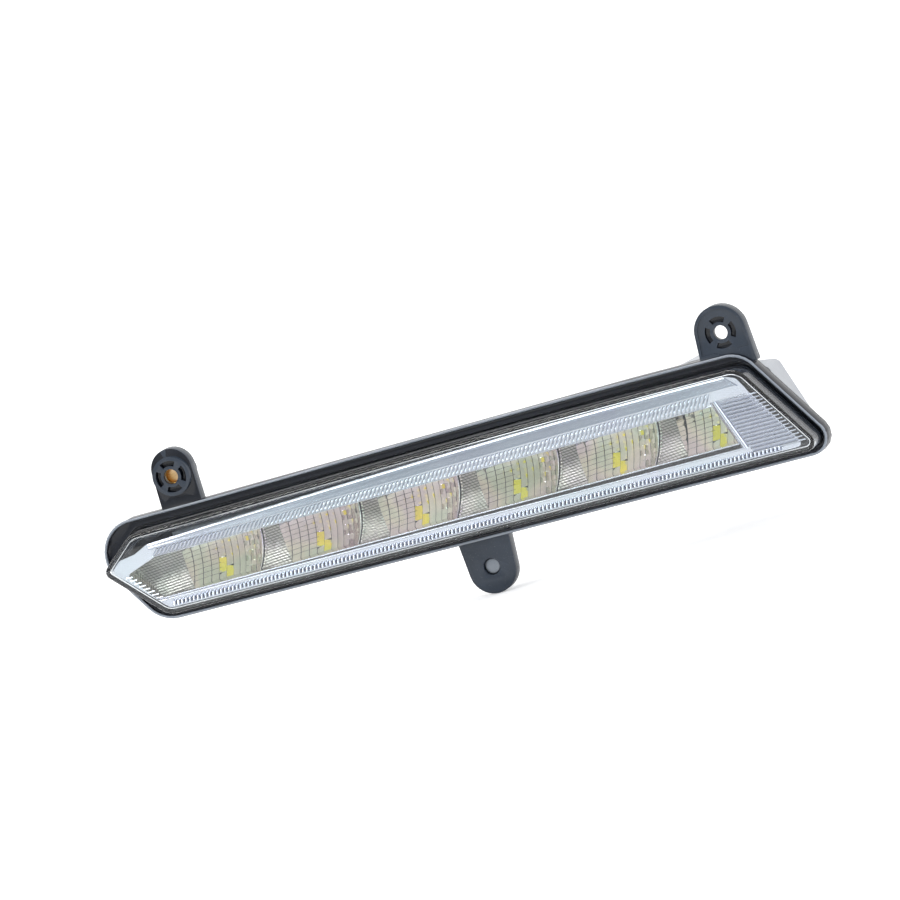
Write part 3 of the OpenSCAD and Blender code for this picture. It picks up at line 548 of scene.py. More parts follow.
@dataclass(frozen=True)
class MouldedPlastic(Surface):
    """Injection-moulded plastic.

    The mould's fine eroded grain softens the gloss, so the eye sees an even colour with broad,
    slightly broken highlights; a glow stands for light that is thrown about inside the lamp.
    """

    colour: str
    shade: str
    roughness: float
    grain_mm: float
    grain_depth: float
    coat: float = 0.0
    glow: float = 0.0

    def values(self, tree: Tree, where: Socket) -> Values:
        """Returns the surface's values."""
        cloud = noise(tree, where, 45.0, 4.0)
        grain = noise(tree, where, 1000 / self.grain_mm, 3.0, 0.6)
        tone = tones(tree, cloud, (0.3, self.shade), (0.7, self.colour))
        return {
            "Base Color": tone,
            "Emission Color": tone,
            "Emission Strength": self.glow,
            "Roughness": remap(tree, grain, self.roughness - 0.06, self.roughness + 0.08),
            "Normal": relief(tree, grain, self.grain_depth, 0.0002),
            "IOR": 1.5,
            "Coat Weight": self.coat,
            "Coat Roughness": 0.12,
        }


@dataclass(frozen=True)
class WorkedMetal(Surface):
    """Drawn, turned, extruded or plated metal.

    Fine tool marks along one axis stretch its highlights across them and change its tone a little.
    """

    colour: str
    shade: str
    roughness: float
    mark_mm: float
    stretch: tuple[float, float, float]

    def values(self, tree: Tree, where: Socket) -> Values:
        """Returns the surface's values."""
        along = add_node(tree, "ShaderNodeMapping", {"Scale": self.stretch, "Vector": where})
        marks = noise(tree, along.outputs["Vector"], 1000 / self.mark_mm, 3.0)
        return {
            "Metallic": 1.0,
            "Base Color": tones(tree, marks, (0.25, self.shade), (0.75, self.colour)),
            "Roughness": remap(tree, marks, self.roughness - 0.08, self.roughness + 0.12),
        }


@dataclass(frozen=True)
class VacuumMetallised(Surface):
    """Plastic with a vapour-deposited aluminium mirror under a thin clear lacquer.

    The lacquer's thickness varies, which gives the eye faint violet, green and warm tints, and
    its orange peel makes mirrored edges waver.
    """

    colour: str
    tints: tuple[str, str, str]
    roughness: float
    cloud_mm: float
    tint_share: float

    def values(self, tree: Tree, where: Socket) -> Values:
        """Returns the surface's values."""
        cloud, peel = noise(tree, where, 1000 / self.cloud_mm, 1.0), noise(tree, where, 260.0)
        film = tones(tree, cloud, *zip((0.38, 0.5, 0.62), self.tints))
        return {
            "Metallic": 1.0,
            "Roughness": self.roughness,
            "Base Color": blend(tree, self.tint_share, linear(self.colour), film),
            "Normal": relief(tree, peel, 0.05, 0.0004),
        }


@dataclass(frozen=True)
class RibbedMirror(Surface):
    """Metallised facet panel: fine ribs one way, finer diagonals the other, painted shade in the
    roots.

    At arm's length the eye sees neither rib nor root but a woven, silky grey.
    """

    rib_mm: float = 1.15
    diagonal_mm: float = 1.5

    def bands(self, tree: Tree, where: Socket, turn: float, pitch: float, low: float) -> Socket:
        """Returns a band pattern between low and 1, turned by degrees about the view axis."""
        values = {"Rotation": (0.0, math.radians(turn), 0.0), "Vector": where}
        way = add_node(tree, "ShaderNodeMapping", values).outputs["Vector"]
        values = {"bands_direction": "Z", "Scale": 2 * math.pi / (0.02 * pitch), "Vector": way}
        wave = add_node(tree, "ShaderNodeTexWave", values).outputs["Fac"]
        return remap(tree, wave, low, 1.0, from_max=0.45)

    def values(self, tree: Tree, where: Socket) -> Values:
        """Returns the surface's values."""
        # Ribs and diagonals darken the colour towards dark grey in the roots: painted shade
        ribs = self.bands(tree, where, 5.0, self.rib_mm, 0.0)
        diagonals = self.bands(tree, where, -52.0, self.diagonal_mm, 0.45)
        both = add_node(tree, "ShaderNodeMath", {"operation": "MULTIPLY", 0: ribs, 1: diagonals})
        cloud = noise(tree, where, 55.0)
        film = tones(tree, cloud, (0.35, "#b9b2b2"), (0.5, "#bfbcb4"), (0.65, "#adb0a6"))
        return {
            "Metallic": 1.0,
            "Roughness": 0.32,
            "Base Color": blend(tree, both.outputs[0], linear("#5f5e58"), film),
        }


@dataclass(frozen=True)
class ClearPolycarbonate(Surface):
    """Clear moulded polycarbonate with a hard coat.

    It is sharp and glassy, bends what is behind it, and its long flow waves make the
    reflections swim slightly.
    """

    tint: str = "#f4f8fb"

    def values(self, tree: Tree, where: Socket) -> Values:
        """Returns the surface's values."""
        return {
            "Base Color": linear(self.tint),
            "Roughness": 0.0,
            "IOR": 1.58,
            "Transmission Weight": 1.0,
            "Normal": relief(tree, noise(tree, where, 14.0, 1.0), 0.02, 0.001),
        }

    def outcome(self, tree: Tree, shader: bpy.types.Node) -> Socket:
        """Returns the glass, which lets the lamps light what is behind it."""
        shadow = add_node(tree, "ShaderNodeLightPath").outputs["Is Shadow Ray"]
        clear = add_node(tree, "ShaderNodeBsdfTransparent").outputs[0]
        values = {0: shadow, 1: shader.outputs[0], 2: clear}
        return add_node(tree, "ShaderNodeMixShader", values).outputs[0]


@dataclass(frozen=True)
class Phosphor(Surface):
    """Yellow phosphor in silicone over a blue chip: it turns daylight into a faint glow."""

    colour: str = "#e2d95e"
    shade: str = "#d2c548"

    def values(self, tree: Tree, where: Socket) -> Values:
        """Returns the surface's values."""
        powder = noise(tree, where, 3000.0)
        tone = tones(tree, powder, (0.3, self.shade), (0.7, self.colour))
        return {
            "Base Color": tone,
            "Emission Color": tone,
            "Emission Strength": 0.72,
            "Roughness": 0.35,
            "IOR": 1.41,
        }


class Finish(Enum):
    """Every finish of the lamp.

    Plastics: colour, shade, roughness, grain in mm, its depth, coat, glow. Metals: colour, shade,
    roughness, marks in mm, stretch. Mirrors: colour, tints, roughness, clouds in mm, tint share.
    """

    # The housing's mould is polished round the lens: near black, with one clear highlight; this
    # finish is also painted into the ear recesses as shade
    HOUSING = MouldedPlastic(
        "polished_black_polypropylene", "#151a24", "#0f131b", 0.2, 1.6, 0.12
    )
    # Its grained surfaces scatter the sky; their soft slate grey is a painted sheen of that light
    # on the same black plastic
    HOUSING_GRAIN = MouldedPlastic(
        "grained_black_pp_painted_sheen", "#333c48", "#29313b", 0.24, 0.6, 0.12
    )
    # Satin cover: pale and even, without a highlight of its own
    COVER = MouldedPlastic("light_grey_polypropylene", "#bfc2c6", "#b5b8bd", 0.42, 0.5, 0.1)
    LENS = ClearPolycarbonate("clear_polycarbonate")
    # The bezel is a softer mirror than the bowls, and shows the room as silver bands
    BEZEL = VacuumMetallised(
        "metallised_bezel", "#d9dce1", ("#d6d3de", "#e0e2e4", "#cfd9da"), 0.13, 40, 0.3
    )
    MIRROR = VacuumMetallised(
        "metallised_reflector", "#ece8e2", ("#dcc4e0", "#efe9da", "#c4e0c8"), 0.06, 22, 0.42
    )
    # Painted shade: the roots between the knurled strip's teeth get this darker finish
    GAP = VacuumMetallised(
        "metallised_gap_painted_shade", "#78829a", ("#767c90", "#808898", "#748290"), 0.2, 20, 0.3
    )
    FACET = RibbedMirror("metallised_facets")
    # Painted shade: a black strip behind the slot and dark seams between the flutes, dark lines
    # that draw the optics
    SHADE = MouldedPlastic("black_painted_shade", "#121419", "#0c0e12", 0.7, 0.8, 0.1)
    SEAM = MouldedPlastic("seam_painted_shade", "#4a4a4c", "#3c3c3e", 0.5, 0.5, 0.1)
    # The lip's crest is painted light grey as a highlight, so it shows as a fine grey line
    LIP = MouldedPlastic("lip_painted_highlight", "#8f96a0", "#7f868f", 0.15, 1.6, 0.05, 0.8)
    # White roof: what the bowls mirror, and so their pale warm tone. Its glow is painted light that
    # stands for light thrown about inside the lamp
    ROOF = MouldedPlastic("white_roof", "#dedad0", "#b2ada0", 0.35, 0.6, 0.05, 0.2, 0.62)
    PHOSPHOR = Phosphor("lit_phosphor")
    # Cured glue shows through the lens's foot as a dark wet-looking band
    SEALANT = MouldedPlastic("cured_glue", "#14171e", "#0f1218", 0.4, 1.2, 0.2)
    # Solder masks: lacquer over a board, so colour with a clear coat's shine
    BOARD_WHITE = MouldedPlastic("white_solder_mask", "#e6e9e3", "#dcdfd9", 0.3, 0.6, 0.05, 0.3)
    BOARD_GREEN = MouldedPlastic("green_solder_mask", "#2f6d40", "#245634", 0.3, 1.4, 0.15, 0.4)
    # Soft fillers and seals: dull, with hardly a highlight
    PAD = MouldedPlastic("silicone_heat_pad", "#8e9aa8", "#7f8b99", 0.8, 0.7, 0.3)
    RUBBER = MouldedPlastic("black_epdm_rubber", "#2e2f32", "#242528", 0.7, 0.8, 0.3)
    SEAL = MouldedPlastic("orange_silicone", "#cf6a2e", "#b85a24", 0.5, 0.9, 0.2)
    MEMBRANE = MouldedPlastic("breather_membrane", "#f2f2f0", "#e4e4e1", 0.85, 0.3, 0.5)
    # Metals: die lines, plating haze, grinding and drawing marks
    ALUMINIUM = WorkedMetal("extruded_aluminium", "#b4b8bd", "#9a9ea4", 0.35, 0.5, (0.03, 1, 1))
    ZINC = WorkedMetal("zinc_plated_steel", "#aeb3ba", "#8f959d", 0.3, 0.3, (1, 0.1, 1))
    STEEL = WorkedMetal("ground_steel", "#989ea5", "#7d838a", 0.32, 0.35, (1, 0.05, 1))
    BRASS = WorkedMetal("drawn_brass", "#cfa860", "#a8803e", 0.28, 0.3, (1, 0.05, 1))
    # Small electrical parts
    NYLON_IVORY = MouldedPlastic("ivory_nylon", "#eeeee6", "#e2e2d8", 0.4, 0.6, 0.1)
    NYLON_BLACK = MouldedPlastic("black_glass_nylon", "#28292c", "#1e1f22", 0.5, 0.5, 0.3)
    FERRITE = MouldedPlastic("sintered_ferrite", "#3c3c40", "#2e2e32", 0.65, 0.3, 0.4)
    SLEEVE_BLUE = MouldedPlastic(
        "blue_capacitor_sleeve", "#4a50a0", "#3c4288", 0.25, 1.0, 0.05, 0.5
    )
    EPOXY = MouldedPlastic("black_chip_epoxy", "#27282c", "#1d1e22", 0.5, 0.25, 0.3)
    WIRE_RED = MouldedPlastic("red_pvc", "#a8322c", "#8f2722", 0.35, 1.5, 0.05)
    WIRE_BLACK = MouldedPlastic("black_pvc", "#242427", "#1a1a1d", 0.35, 1.5, 0.05)

    def material(self) -> Material:
        """Returns this finish's material, made on first use."""
        return bpy.data.materials.get(self.value.name) or self.value.build()


def dress(obj: Obj, finish: Finish) -> None:
    """Gives obj one finish in place of all that it had."""
    obj.data.materials.clear()
    obj.data.materials.append(finish.material())


def stand_for(obj: Obj, finish: Finish, node: str) -> Obj:
    """Dresses a piece, mounts it on the lamp and lets it stand for a CAD node.

    Args:
        obj: The piece.
        finish: Its finish.
        node: The CAD node that it replaces.

    Returns:
        The piece.
    """
    dress(obj, finish)
    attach(obj, "root")
    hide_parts(node)
    log.info("%s: %d faces for %s", obj.name, len(obj.data.polygons), node)
    return obj


# ---------------------------------------------------------------- lens


@dataclass
class LensShell:
    """Clear shell with a glued foot, drafted sides and a rounded front edge."""

    edge_steps: int = 6

    def rings(self, inner: bool) -> Columns:
        """Returns the rings of points of the inner or the outer skin, foot first."""
        base = rounded(FORM.lens_corners())
        wall = FORM.lens_wall if inner else 0.0
        edge = FORM.lens_edge - (0.6 if inner else 0.0)
        front = -FORM.lens_depth + wall
        side = wall + FORM.lens_draft
        profile = [(wall, FORM.channel - 0.3), (wall, 0.0), (side, front + edge)]
        for t in even(0.0, math.pi / 2, self.edge_steps)[1:]:
            profile.append((side + edge * (1 - math.cos(t)), front + edge * (1 - math.sin(t))))
        return [[(p[0], y, p[1]) for p in inset(base, d)] for d, y in profile]

    def build(self) -> None:
        """Builds the shell as one closed skin, from its inner front round the foot outwards."""
        obj = ring_mesh("lens_shell", self.rings(True)[::-1] + self.rings(False), False)
        smooth(obj, 30)
        stand_for(obj, Finish.LENS, "lens")


# ---------------------------------------------------------------- reflector


@dataclass(frozen=True)
class ChipFacet:
    """A large facet that shows the chip, as the yellow spots of the photograph do.

    Its place is in mm across from the bowl's axis and up from the roof.
    """

    left: float
    right: float
    low: float
    high: float
    level: float
    chip_x: float

    def holds(self, u: float, w: float) -> bool:
        """Returns True at a place on the facet."""
        return self.left < u < self.right and self.low < w < self.high


CHIP_FACETS = (
    ChipFacet(-7.0, -3.0, -16.62, -10.39, -13.5, 0.0),
    ChipFacet(-3.0, 0.0, -math.inf, -14.54, -16.6, 1.2),
)


@dataclass
class Reflector:
    """Six fluted bowls that share a roof line, facet panels between them, floor and roof."""

    count: int = 6
    first_x: float = 55.5
    pitch: float = 49.0
    focal: float = 8.0
    depth: float = 16.0
    panel_y: float = 3.6
    panel_focal: float = 12.4
    flutes: int = 12
    flute_h: float = 0.14
    flute_cuts: tuple[float, ...] = (0.001, 0.05, 0.27, 0.5, 0.73, 0.95, 0.999)
    facet_h: float = 2.078
    facet_rows: int = 9
    facet_cuts: tuple[float, ...] = (0.04, 0.5, 0.96)
    facet_lean: float = 3.0
    groove: float = 0.22
    seam: float = 0.045
    level_seam: float = 0.03
    level_seam_flutes: float = 4.2
    rib_pitch: float = 1.15
    rib_h: float = 0.12
    mesh_pitch: float = 1.5
    mesh_h: float = 0.08
    rim_w: float = 0.32
    rim_h: float = 0.5
    dot_count: int = 13
    dot_pitch: float = 1.47
    dot_r: float = 0.56
    left: float = 10.7
    roof: float = 1.5
    roof_back: float = 17.4
    chip_window: float = 2.2

    @property
    def half(self) -> float:
        """Half the width of a bowl at the roof."""
        return math.sqrt(4 * self.focal * (self.depth - self.panel_y))

    @property
    def flute_w(self) -> float:
        """Width of a flute."""
        return 2 * self.half / self.flutes

    def middle(self, i: int) -> float:
        """Returns the axis of a bowl."""
        return self.first_x + self.pitch * i

    def facet_slope(self, u: float, w: float, chip: ChipFacet | None) -> Point:
        """Returns how much the facet whose middle is at u and w leans across and up.

        A chip facet sends the camera's view to the chip. The others lean a few degrees towards
        the road, and those at the right sway more, which breaks up what they mirror.
        """
        if chip is None:
            sway = math.sin(u * 12.9 + w * 7.1)
            wild = 7.0 if u > 5 else 0.8
            across = math.radians(self.facet_lean + wild * sway)
            return (math.tan(across), math.tan(math.radians(wild * sway)))
        spot = Vector((u, self.depth - (u * u + w * w) / (4 * self.focal), w))
        source = Vector((chip.chip_x, self.depth - self.focal, 0.5))
        normal = (source - spot).normalized() + to_camera()
        across, up = normal.x / abs(normal.y), normal.z / abs(normal.y)
        return (across + u / (2 * self.focal), up + w / (2 * self.focal))

    def bowl(self, u: float, w: float) -> float:
        """Returns the depth of the bowl with its fluted facets at u across and w up."""
        number = math.floor((u + self.half) / self.flute_w)
        part = (u + self.half) / self.flute_w - number - 0.5
        middle = (number + 0.5) * self.flute_w - self.half
        chip = next((facet for facet in CHIP_FACETS if facet.holds(middle, w)), None)
        level = chip.level if chip else (math.floor(w / self.facet_h) + 0.5) * self.facet_h
        across, up = self.facet_slope(middle, level, chip)
        crown = (0.25 if chip else 1.0) * self.flute_h * (1 - 4 * part * part)
        step = across * (u - middle) + up * (w - level)
        groove = self.groove if abs(part) > 0.49 else 0.0
        return self.depth - (u * u + w * w) / (4 * self.focal) - crown + step + groove

    def panel(self, w: float) -> float:
        """Returns the depth of a facet panel at w below the roof."""
        return self.panel_y - w * w / (4 * self.panel_focal)

    def edge(self, w: float) -> float:
        """Returns half the width of the bowl at w, where it meets the panels."""
        return math.sqrt(max(0.0, 4 * self.focal * (self.depth - self.panel(w)) - w * w))

    def height_rows(self, step: float) -> list[float]:
        """Returns heights from below the window to above it, step by step."""
        low, high = FORM.window_z - 0.7, FORM.window_top + 0.5
        return even(low, high, max(2, round((high - low) / step)))

    def left_limit(self, z: float) -> float:
        """Returns the left limit of the reflector at height z."""
        return 22.2 - (z - 12.3) * 11.5 / 15.1 if z < 27.4 else self.left + (z - 27.4) * 2.35

    def right_limit(self, z: float) -> float:
        """Returns the right limit of the reflector at height z."""
        return FORM.window_right + 1.6 - FORM.window_slope * (z - FORM.window_z + 1.5)

    def bowls(self) -> Obj:
        """Builds the six bowls, each from the columns of points of its flutes."""
        parts = []
        rows = [FORM.window_z - 0.7]
        for k in range(self.facet_rows, 0, -1):
            rows += [FORM.window_top - self.facet_h * (k - t) for t in self.facet_cuts]
        rows.append(FORM.window_top + 0.5)
        shares = [(f + t) / self.flutes for f in range(self.flutes) for t in self.flute_cuts]
        for i in range(self.count):
            columns = []
            for share in shares:
                column = []
                for z in rows:
                    w = z - FORM.window_top
                    # Flutes follow planes of constant x, so columns stop at the bowl's edge
                    edge = self.edge(w)
                    u = max(-edge, min(edge, self.half * (2 * share - 1)))
                    x = min(self.middle(i) + u, self.right_limit(z))
                    tx, tz = FORM.tilted(x, z)
                    column.append((tx, self.bowl(x - self.middle(i), w), tz))
                columns.append(column)
            parts.append(loft(f"bowl_{i}", columns))
        return join("reflector_bowls", parts)

    def paint_seam_shade(self, bowls: Obj) -> None:
        """Paints shade into the narrow grooves between the flutes and along the facet rows, where
        the step walls face away.
        """
        bowls.data.materials.append(Finish.SEAM.material())
        for face in bowls.data.polygons:
            x, _, z = middle_of(face)
            lean = FORM.tilted(x, z)
            x, z = 2 * x - lean[0], 2 * z - lean[1]
            i = round((x - self.first_x) / self.pitch)
            share = (x - self.middle(i) + self.half) / self.flute_w
            level = (FORM.window_top - z) / self.facet_h
            across = abs(level - round(level)) < self.level_seam
            if abs(share - round(share)) < self.seam or (across and share < self.level_seam_flutes):
                face.material_index = 1

    def facets(self) -> Obj:
        """Builds the seven panels between and beside the bowls, with fine ribs in two ways."""
        parts = []
        for i in range(self.count + 1):
            columns = []
            for share in even(0.0, 1.0, 56):
                column = []
                for z in self.height_rows(self.rib_pitch / 4):
                    w = z - FORM.window_top
                    a = self.left_limit(z) if i == 0 else self.middle(i - 1) + self.edge(w) + 1.0
                    b = self.right_limit(z) if i == self.count else self.middle(i) - self.edge(w)
                    x = min(a + (b - a) * share, self.right_limit(z))
                    rib = abs(((z - 0.06 * x) / self.rib_pitch) % 1.0 - 0.5) * 2
                    mesh = abs(((x * 0.75 + z * 0.66) / self.mesh_pitch) % 1.0 - 0.5) * 2
                    fade = max(0.0, share - 0.35) / 0.65
                    y = self.panel(w) - self.rib_h * rib - self.mesh_h * fade * mesh
                    tx, tz = FORM.tilted(x, z)
                    column.append((tx, y, tz))
                columns.append(column)
            if i < self.count or columns[0][0][0] < columns[-1][0][0] - 0.5:
                parts.append(loft(f"panel_{i}", columns))
        return join("reflector_facets", parts)

    def rims(self) -> Obj:
        """Builds the thin rounded rim at the right edge of each bowl."""
        parts = []
        for i in range(self.count):
            columns = []
            for z in self.height_rows(0.8):
                w = z - FORM.window_top
                x = self.middle(i) + self.edge(w) + 0.1
                if x > self.right_limit(z) - 1:
                    break
                tx, tz = FORM.tilted(x, z)
                y = self.panel(w)
                arc = [(self.rim_w * c, self.rim_h * s) for c, s in half_round(6)]
                columns.append([(tx - across, y - out, tz) for across, out in arc])
            if len(columns) > 2:
                parts.append(loft("rim", columns))
        return join("reflector_rims", parts)

    def dots(self) -> Obj:
        """Builds the column of small round pillows at the left edge of each facet panel."""
        points: list[Point3] = []
        faces: list[tuple[int, ...]] = []
        around, rings, r = 10, 5, self.dot_r
        for i, k in ((i, k) for i in range(self.count) for k in range(self.dot_count)):
            z = FORM.window_z + 0.6 + self.dot_pitch * k
            w = z - FORM.window_top
            x = self.middle(i) + self.edge(w) + 1.7
            if w > -0.4 or x > self.right_limit(z) - 1.2:
                continue
            tx, tz = FORM.tilted(x, z)
            y = self.panel(w) - 0.35
            first = len(points)
            # The end rings have no width, and merge to the pillow's poles
            for t in even(0.0, math.pi, rings):
                for p in even(0.0, 2 * math.pi, around)[:-1]:
                    out = r * math.sin(t)
                    points.append(
                        (tx + out * math.cos(p), y - r * math.cos(t), tz + out * math.sin(p))
                    )
            skin = ring_faces(rings + 1, around, False)[:-2]
            faces += [tuple(first + k for k in face) for face in skin]
        return outward(sheet_mesh("reflector_dots", points, faces))

    def frame_walls(self) -> Obj:
        """Builds the floor, roof and end walls round the window as one ring."""
        front, back = FORM.bezel_front + FORM.bezel_t, 4.8
        loops = ((0.75, front), (0.25, front), (0.25, back), (0.75, back))
        rings = [[(x, y, z) for x, z in FORM.window_outline(grow)] for grow, y in loops]
        return ring_mesh("reflector_frame", rings, True)

    def roof_plate(self) -> Obj:
        """Builds the white roof over the bowls, with a square window for each chip."""
        low, high = FORM.window_top + 0.1, FORM.window_top + self.roof
        focus, front, half = self.depth - self.focal, FORM.bezel_front + 2.2, self.chip_window
        spans: list[tuple[float, float, float, float]] = []
        x = FORM.left_low + 9.7
        for i in range(self.count):
            a, b = self.middle(i) - half, self.middle(i) + half
            spans += [(x, a, front, self.roof_back), (a, b, focus + half, self.roof_back)]
            spans.append((a, b, front, focus - half))
            x = b
        spans.append((x, self.right_limit(high), front, self.roof_back))
        parts = []
        for a, b, y0, y1 in spans:
            line = [FORM.tilted(at, low) for at in even(a, b, 8)]
            columns = [[(tx, y0, tz), (tx, y0, tz + high - low)] for tx, tz in line]
            parts.append(loft("roof", columns, y1))
        return join("reflector_roof", parts)

    def build(self) -> None:
        """Builds and dresses the reflector's pieces."""
        bowls = self.bowls()
        smooth(bowls, 20)
        stand_for(bowls, Finish.MIRROR, "reflector")
        self.paint_seam_shade(bowls)
        stand_for(self.facets(), Finish.FACET, "reflector")
        walls = self.frame_walls()
        smooth(walls, 30)
        stand_for(walls, Finish.MIRROR, "reflector")
        stand_for(self.roof_plate(), Finish.ROOF, "reflector")
        for extra in (self.rims(), self.dots()):
            smooth(extra, 60)
            stand_for(extra, Finish.MIRROR, "reflector")


# ---------------------------------------------------------------- bezel


@dataclass(frozen=True)
class RidgeRow:
    """A row of rounded ridges across a band of the bezel."""

    name: str
    start: float
    end: float
    pitch: float
    lean: float
    power: float
    height: float
    lift: float
    border: float
    border_height: float
    band: Callable[[float], Point]
    steps: int = 8

    def build(self, face: float, sunk: float) -> Obj:
        """Returns the row on a face at that depth, its back sunk behind it."""
        columns = []
        for k in range(int((self.end - self.start) / self.pitch) * self.steps + 1):
            x = self.start + self.pitch * k / self.steps
            crest = abs(math.sin(math.pi * k / self.steps)) ** self.power
            column = []
            for t in (0.0, self.border, 0.5, 1 - self.border, 1.0):
                low, high = self.band(x + self.lean * t)
                rise = self.height * crest * (1.0 if 0 < t < 1 else self.border_height)
                column.append((x + self.lean * t, face - self.lift - rise, low + (high - low) * t))
            columns.append(column)
        return loft(self.name, columns, face + sunk)


@dataclass
class Bezel:
    """Metallised frame in front of the reflector with its bands, beads, ribs and teeth."""

    rope_pitch: float = 2.05
    knurl_pitch: float = 1.95
    knurl_start: float = 29.0
    knurl_h: float = 2.9
    rib_pitch: float = 1.7
    band_steps: int = 120
    sunk: float = 0.8

    @property
    def face(self) -> float:
        """Depth of the bezel's face."""
        return FORM.bezel_front

    @property
    def knurl_end(self) -> float:
        """Right end of the knurled strip."""
        return FORM.bezel_right(8) - 9.0

    @property
    def end_low(self) -> float:
        """Lower edge of the ribbed panel."""
        return FORM.gap_bottom + 5.4

    @property
    def end_rib_count(self) -> int:
        """Number of the panel's ribs."""
        return int((37.2 - self.end_low) / self.rib_pitch)

    def plate(self) -> Obj:
        """Builds the base plate with its window, from two loops filled and given a thickness."""
        loops = (FORM.bezel_outline(), FORM.plate_outline())
        points = [(x, self.face + 0.35, z) for loop in loops for x, z in loop]
        n, m = (len(loop) for loop in loops)
        edges = [(i, (i + 1) % n) for i in range(n)] + [(n + i, n + (i + 1) % m) for i in range(m)]
        obj = sheet_mesh("plate", points, [], edges)
        move = {"value": (0, (FORM.bezel_t - 0.4) / 1000, 0)}
        edit(
            obj,
            lambda: bpy.ops.mesh.fill(use_beauty=True),
            lambda: bpy.ops.mesh.extrude_region_move(TRANSFORM_OT_translate=move),
            lambda: bpy.ops.mesh.normals_make_consistent(inside=False),
        )
        return obj

    def ridge_low(self, x: float) -> float:
        """Returns the height of the bright ridge line under the smooth band at x."""
        t = (x - 28) / (300 - 28)
        return 34.6 + (39.7 - 34.6) * t

    def smooth_band(self) -> Obj:
        """Builds the smooth upper band: rolled top edge, shallow hollow and crisp lower ridge."""
        profile = [(0.0, -0.35), (0.0, -0.8), (0.04, -0.9), (0.12, -0.87), (0.35, -0.63)]
        profile += [(0.6, -0.42), (0.82, -0.27), (0.94, -0.1), (1.0, 0.3)]
        columns = []
        end = FORM.right_edge(FORM.bezel_crown[1]) - 8.2
        for k, x in enumerate(even(25.8, end, self.band_steps)):
            top, low = FORM.bezel_top(x) - 0.05, self.ridge_low(x)
            slant = 5.6 * (k / self.band_steps) ** 8
            columns.append(
                [(x - slant * t, self.face + y + 0.1, low + (top - low) * t) for t, y in profile]
            )
        return loft("smooth_band", columns, self.face + self.sunk)

    def rope_limits(self, x: float) -> Point:
        """Returns the lower and upper height of the rope band at x."""
        return (FORM.tilted(x, FORM.window_top)[1] + 0.35, self.ridge_low(x) - 0.15)

    def knurl_limits(self, _x: float) -> Point:
        """Returns the lower and upper height of the knurled strip."""
        low = FORM.bezel_low + 0.35
        return (low, low + self.knurl_h)

    def ridge_rows(self) -> list[Obj]:
        """Builds the rope below the smooth band and the knurled strip along the lower edge."""
        rope = RidgeRow(
            name="rope",
            start=26.3,
            end=FORM.window_right - 9.5,
            pitch=self.rope_pitch,
            lean=3.0,
            power=0.8,
            height=0.75,
            lift=0.1,
            border=0.12,
            border_height=0.35,
            band=self.rope_limits,
        )
        knurl = RidgeRow(
            name="knurl",
            start=self.knurl_start,
            end=self.knurl_end,
            pitch=self.knurl_pitch,
            lean=0.7,
            power=1.4,
            height=0.85,
            lift=0.05,
            border=0.15,
            border_height=0.2,
            band=self.knurl_limits,
        )
        return [row.build(self.face, self.sunk) for row in (rope, knurl)]

    def bead(
        self, drop: float, low_drop: float, r: float, x0: float, x1: float, sunk: float
    ) -> Obj:
        """Builds a half-round bead whose drop below the window grows from left to right."""
        columns = []
        for x in even(x0, x1, 60):
            fall = drop + (low_drop - drop) * (x1 - x) / (x1 - x0)
            tx, tz = FORM.tilted(x, FORM.window_z - fall)
            columns.append([(tx, self.face + 0.25 - r * s, tz - r * c) for c, s in half_round(8)])
        return loft("bead", columns, self.face + sunk)

    def beads(self) -> list[Obj]:
        """Builds the two half-round beads below the window and the thin one above it."""
        right, above = FORM.window_right, -FORM.window_h - 0.25
        return [
            self.bead(0.5, 0.5, 0.36, 23.9, right + 1, FORM.bezel_t),
            self.bead(3.0, 1.56, 0.45, 26.9, right + 3, self.sunk),
            self.bead(above, above, 0.35, 27.8, right - 6.6, self.sunk),
        ]

    def slot_shade(self) -> Obj:
        """Builds the black strip of painted shade seen through the open slot under the window."""
        columns = []
        for x in even(34.0, FORM.window_right + 0.4, 24):
            line = [FORM.tilted(x, FORM.window_z - drop) for drop in (0.8, 2.0, 3.1)]
            columns.append([(tx, self.face + 2.2, tz) for tx, tz in line])
        return loft("slot_shade", columns, self.face + 2.9)

    def end_bar(self) -> Obj:
        """Builds the bright slanted bar that closes the window at the right."""
        profile = [(3.7, 0.3), (3.5, -0.9), (2.9, -1.3), (2.4, -1.3), (0.45, 0.0), (0.35, 0.3)]
        columns = []
        low = FORM.window_z - 1.6
        for z in even(low, low + FORM.window_h + 4.6, 12):
            x = FORM.window_right - FORM.window_slope * (z - FORM.window_z)
            columns.append([(x + dx, self.face + y, z) for dx, y in profile])
        return loft("end_bar", columns, self.face + self.sunk)

    def end_ribs(self) -> Obj:
        """Builds the horizontally ribbed panel between the bar and the right edge."""
        columns = []
        sub = 6
        rows = range(self.end_rib_count * sub + 1)
        for share in even(0.0, 1.0, 12):
            column = []
            for k in rows:
                z = self.end_low + self.rib_pitch * k / sub
                a = FORM.window_right - FORM.window_slope * (z - FORM.window_z) + 4.3
                b = FORM.bezel_right(z) - 0.6
                crest = 1 - abs((k / sub) % 1.0 - 0.5) * 2
                column.append((a + (b - a) * share, self.face - 0.1 - 0.75 * crest, z))
            columns.append(column)
        return loft("end_ribs", columns, self.face + self.sunk)

    def comb(self) -> list[Obj]:
        """Builds the comb past the ribbed panel: round teeth with open gaps between them."""
        teeth = []
        for k in range(self.end_rib_count):
            z = self.end_low + self.rib_pitch * (k + 0.5)
            start = FORM.bezel_right(z) - 1.2
            columns = []
            for j, x in enumerate(even(start, start + 4.2, 6)):
                taper = 1 - 0.35 * (j / 6) ** 2
                arc = [(0.5 * taper * c, 0.7 * taper * s) for c, s in half_round(6)]
                columns.append([(x, self.face + 0.2 - out, z - up) for up, out in arc])
            teeth.append(loft("comb_tooth", columns, self.face + 1.2))
        return teeth

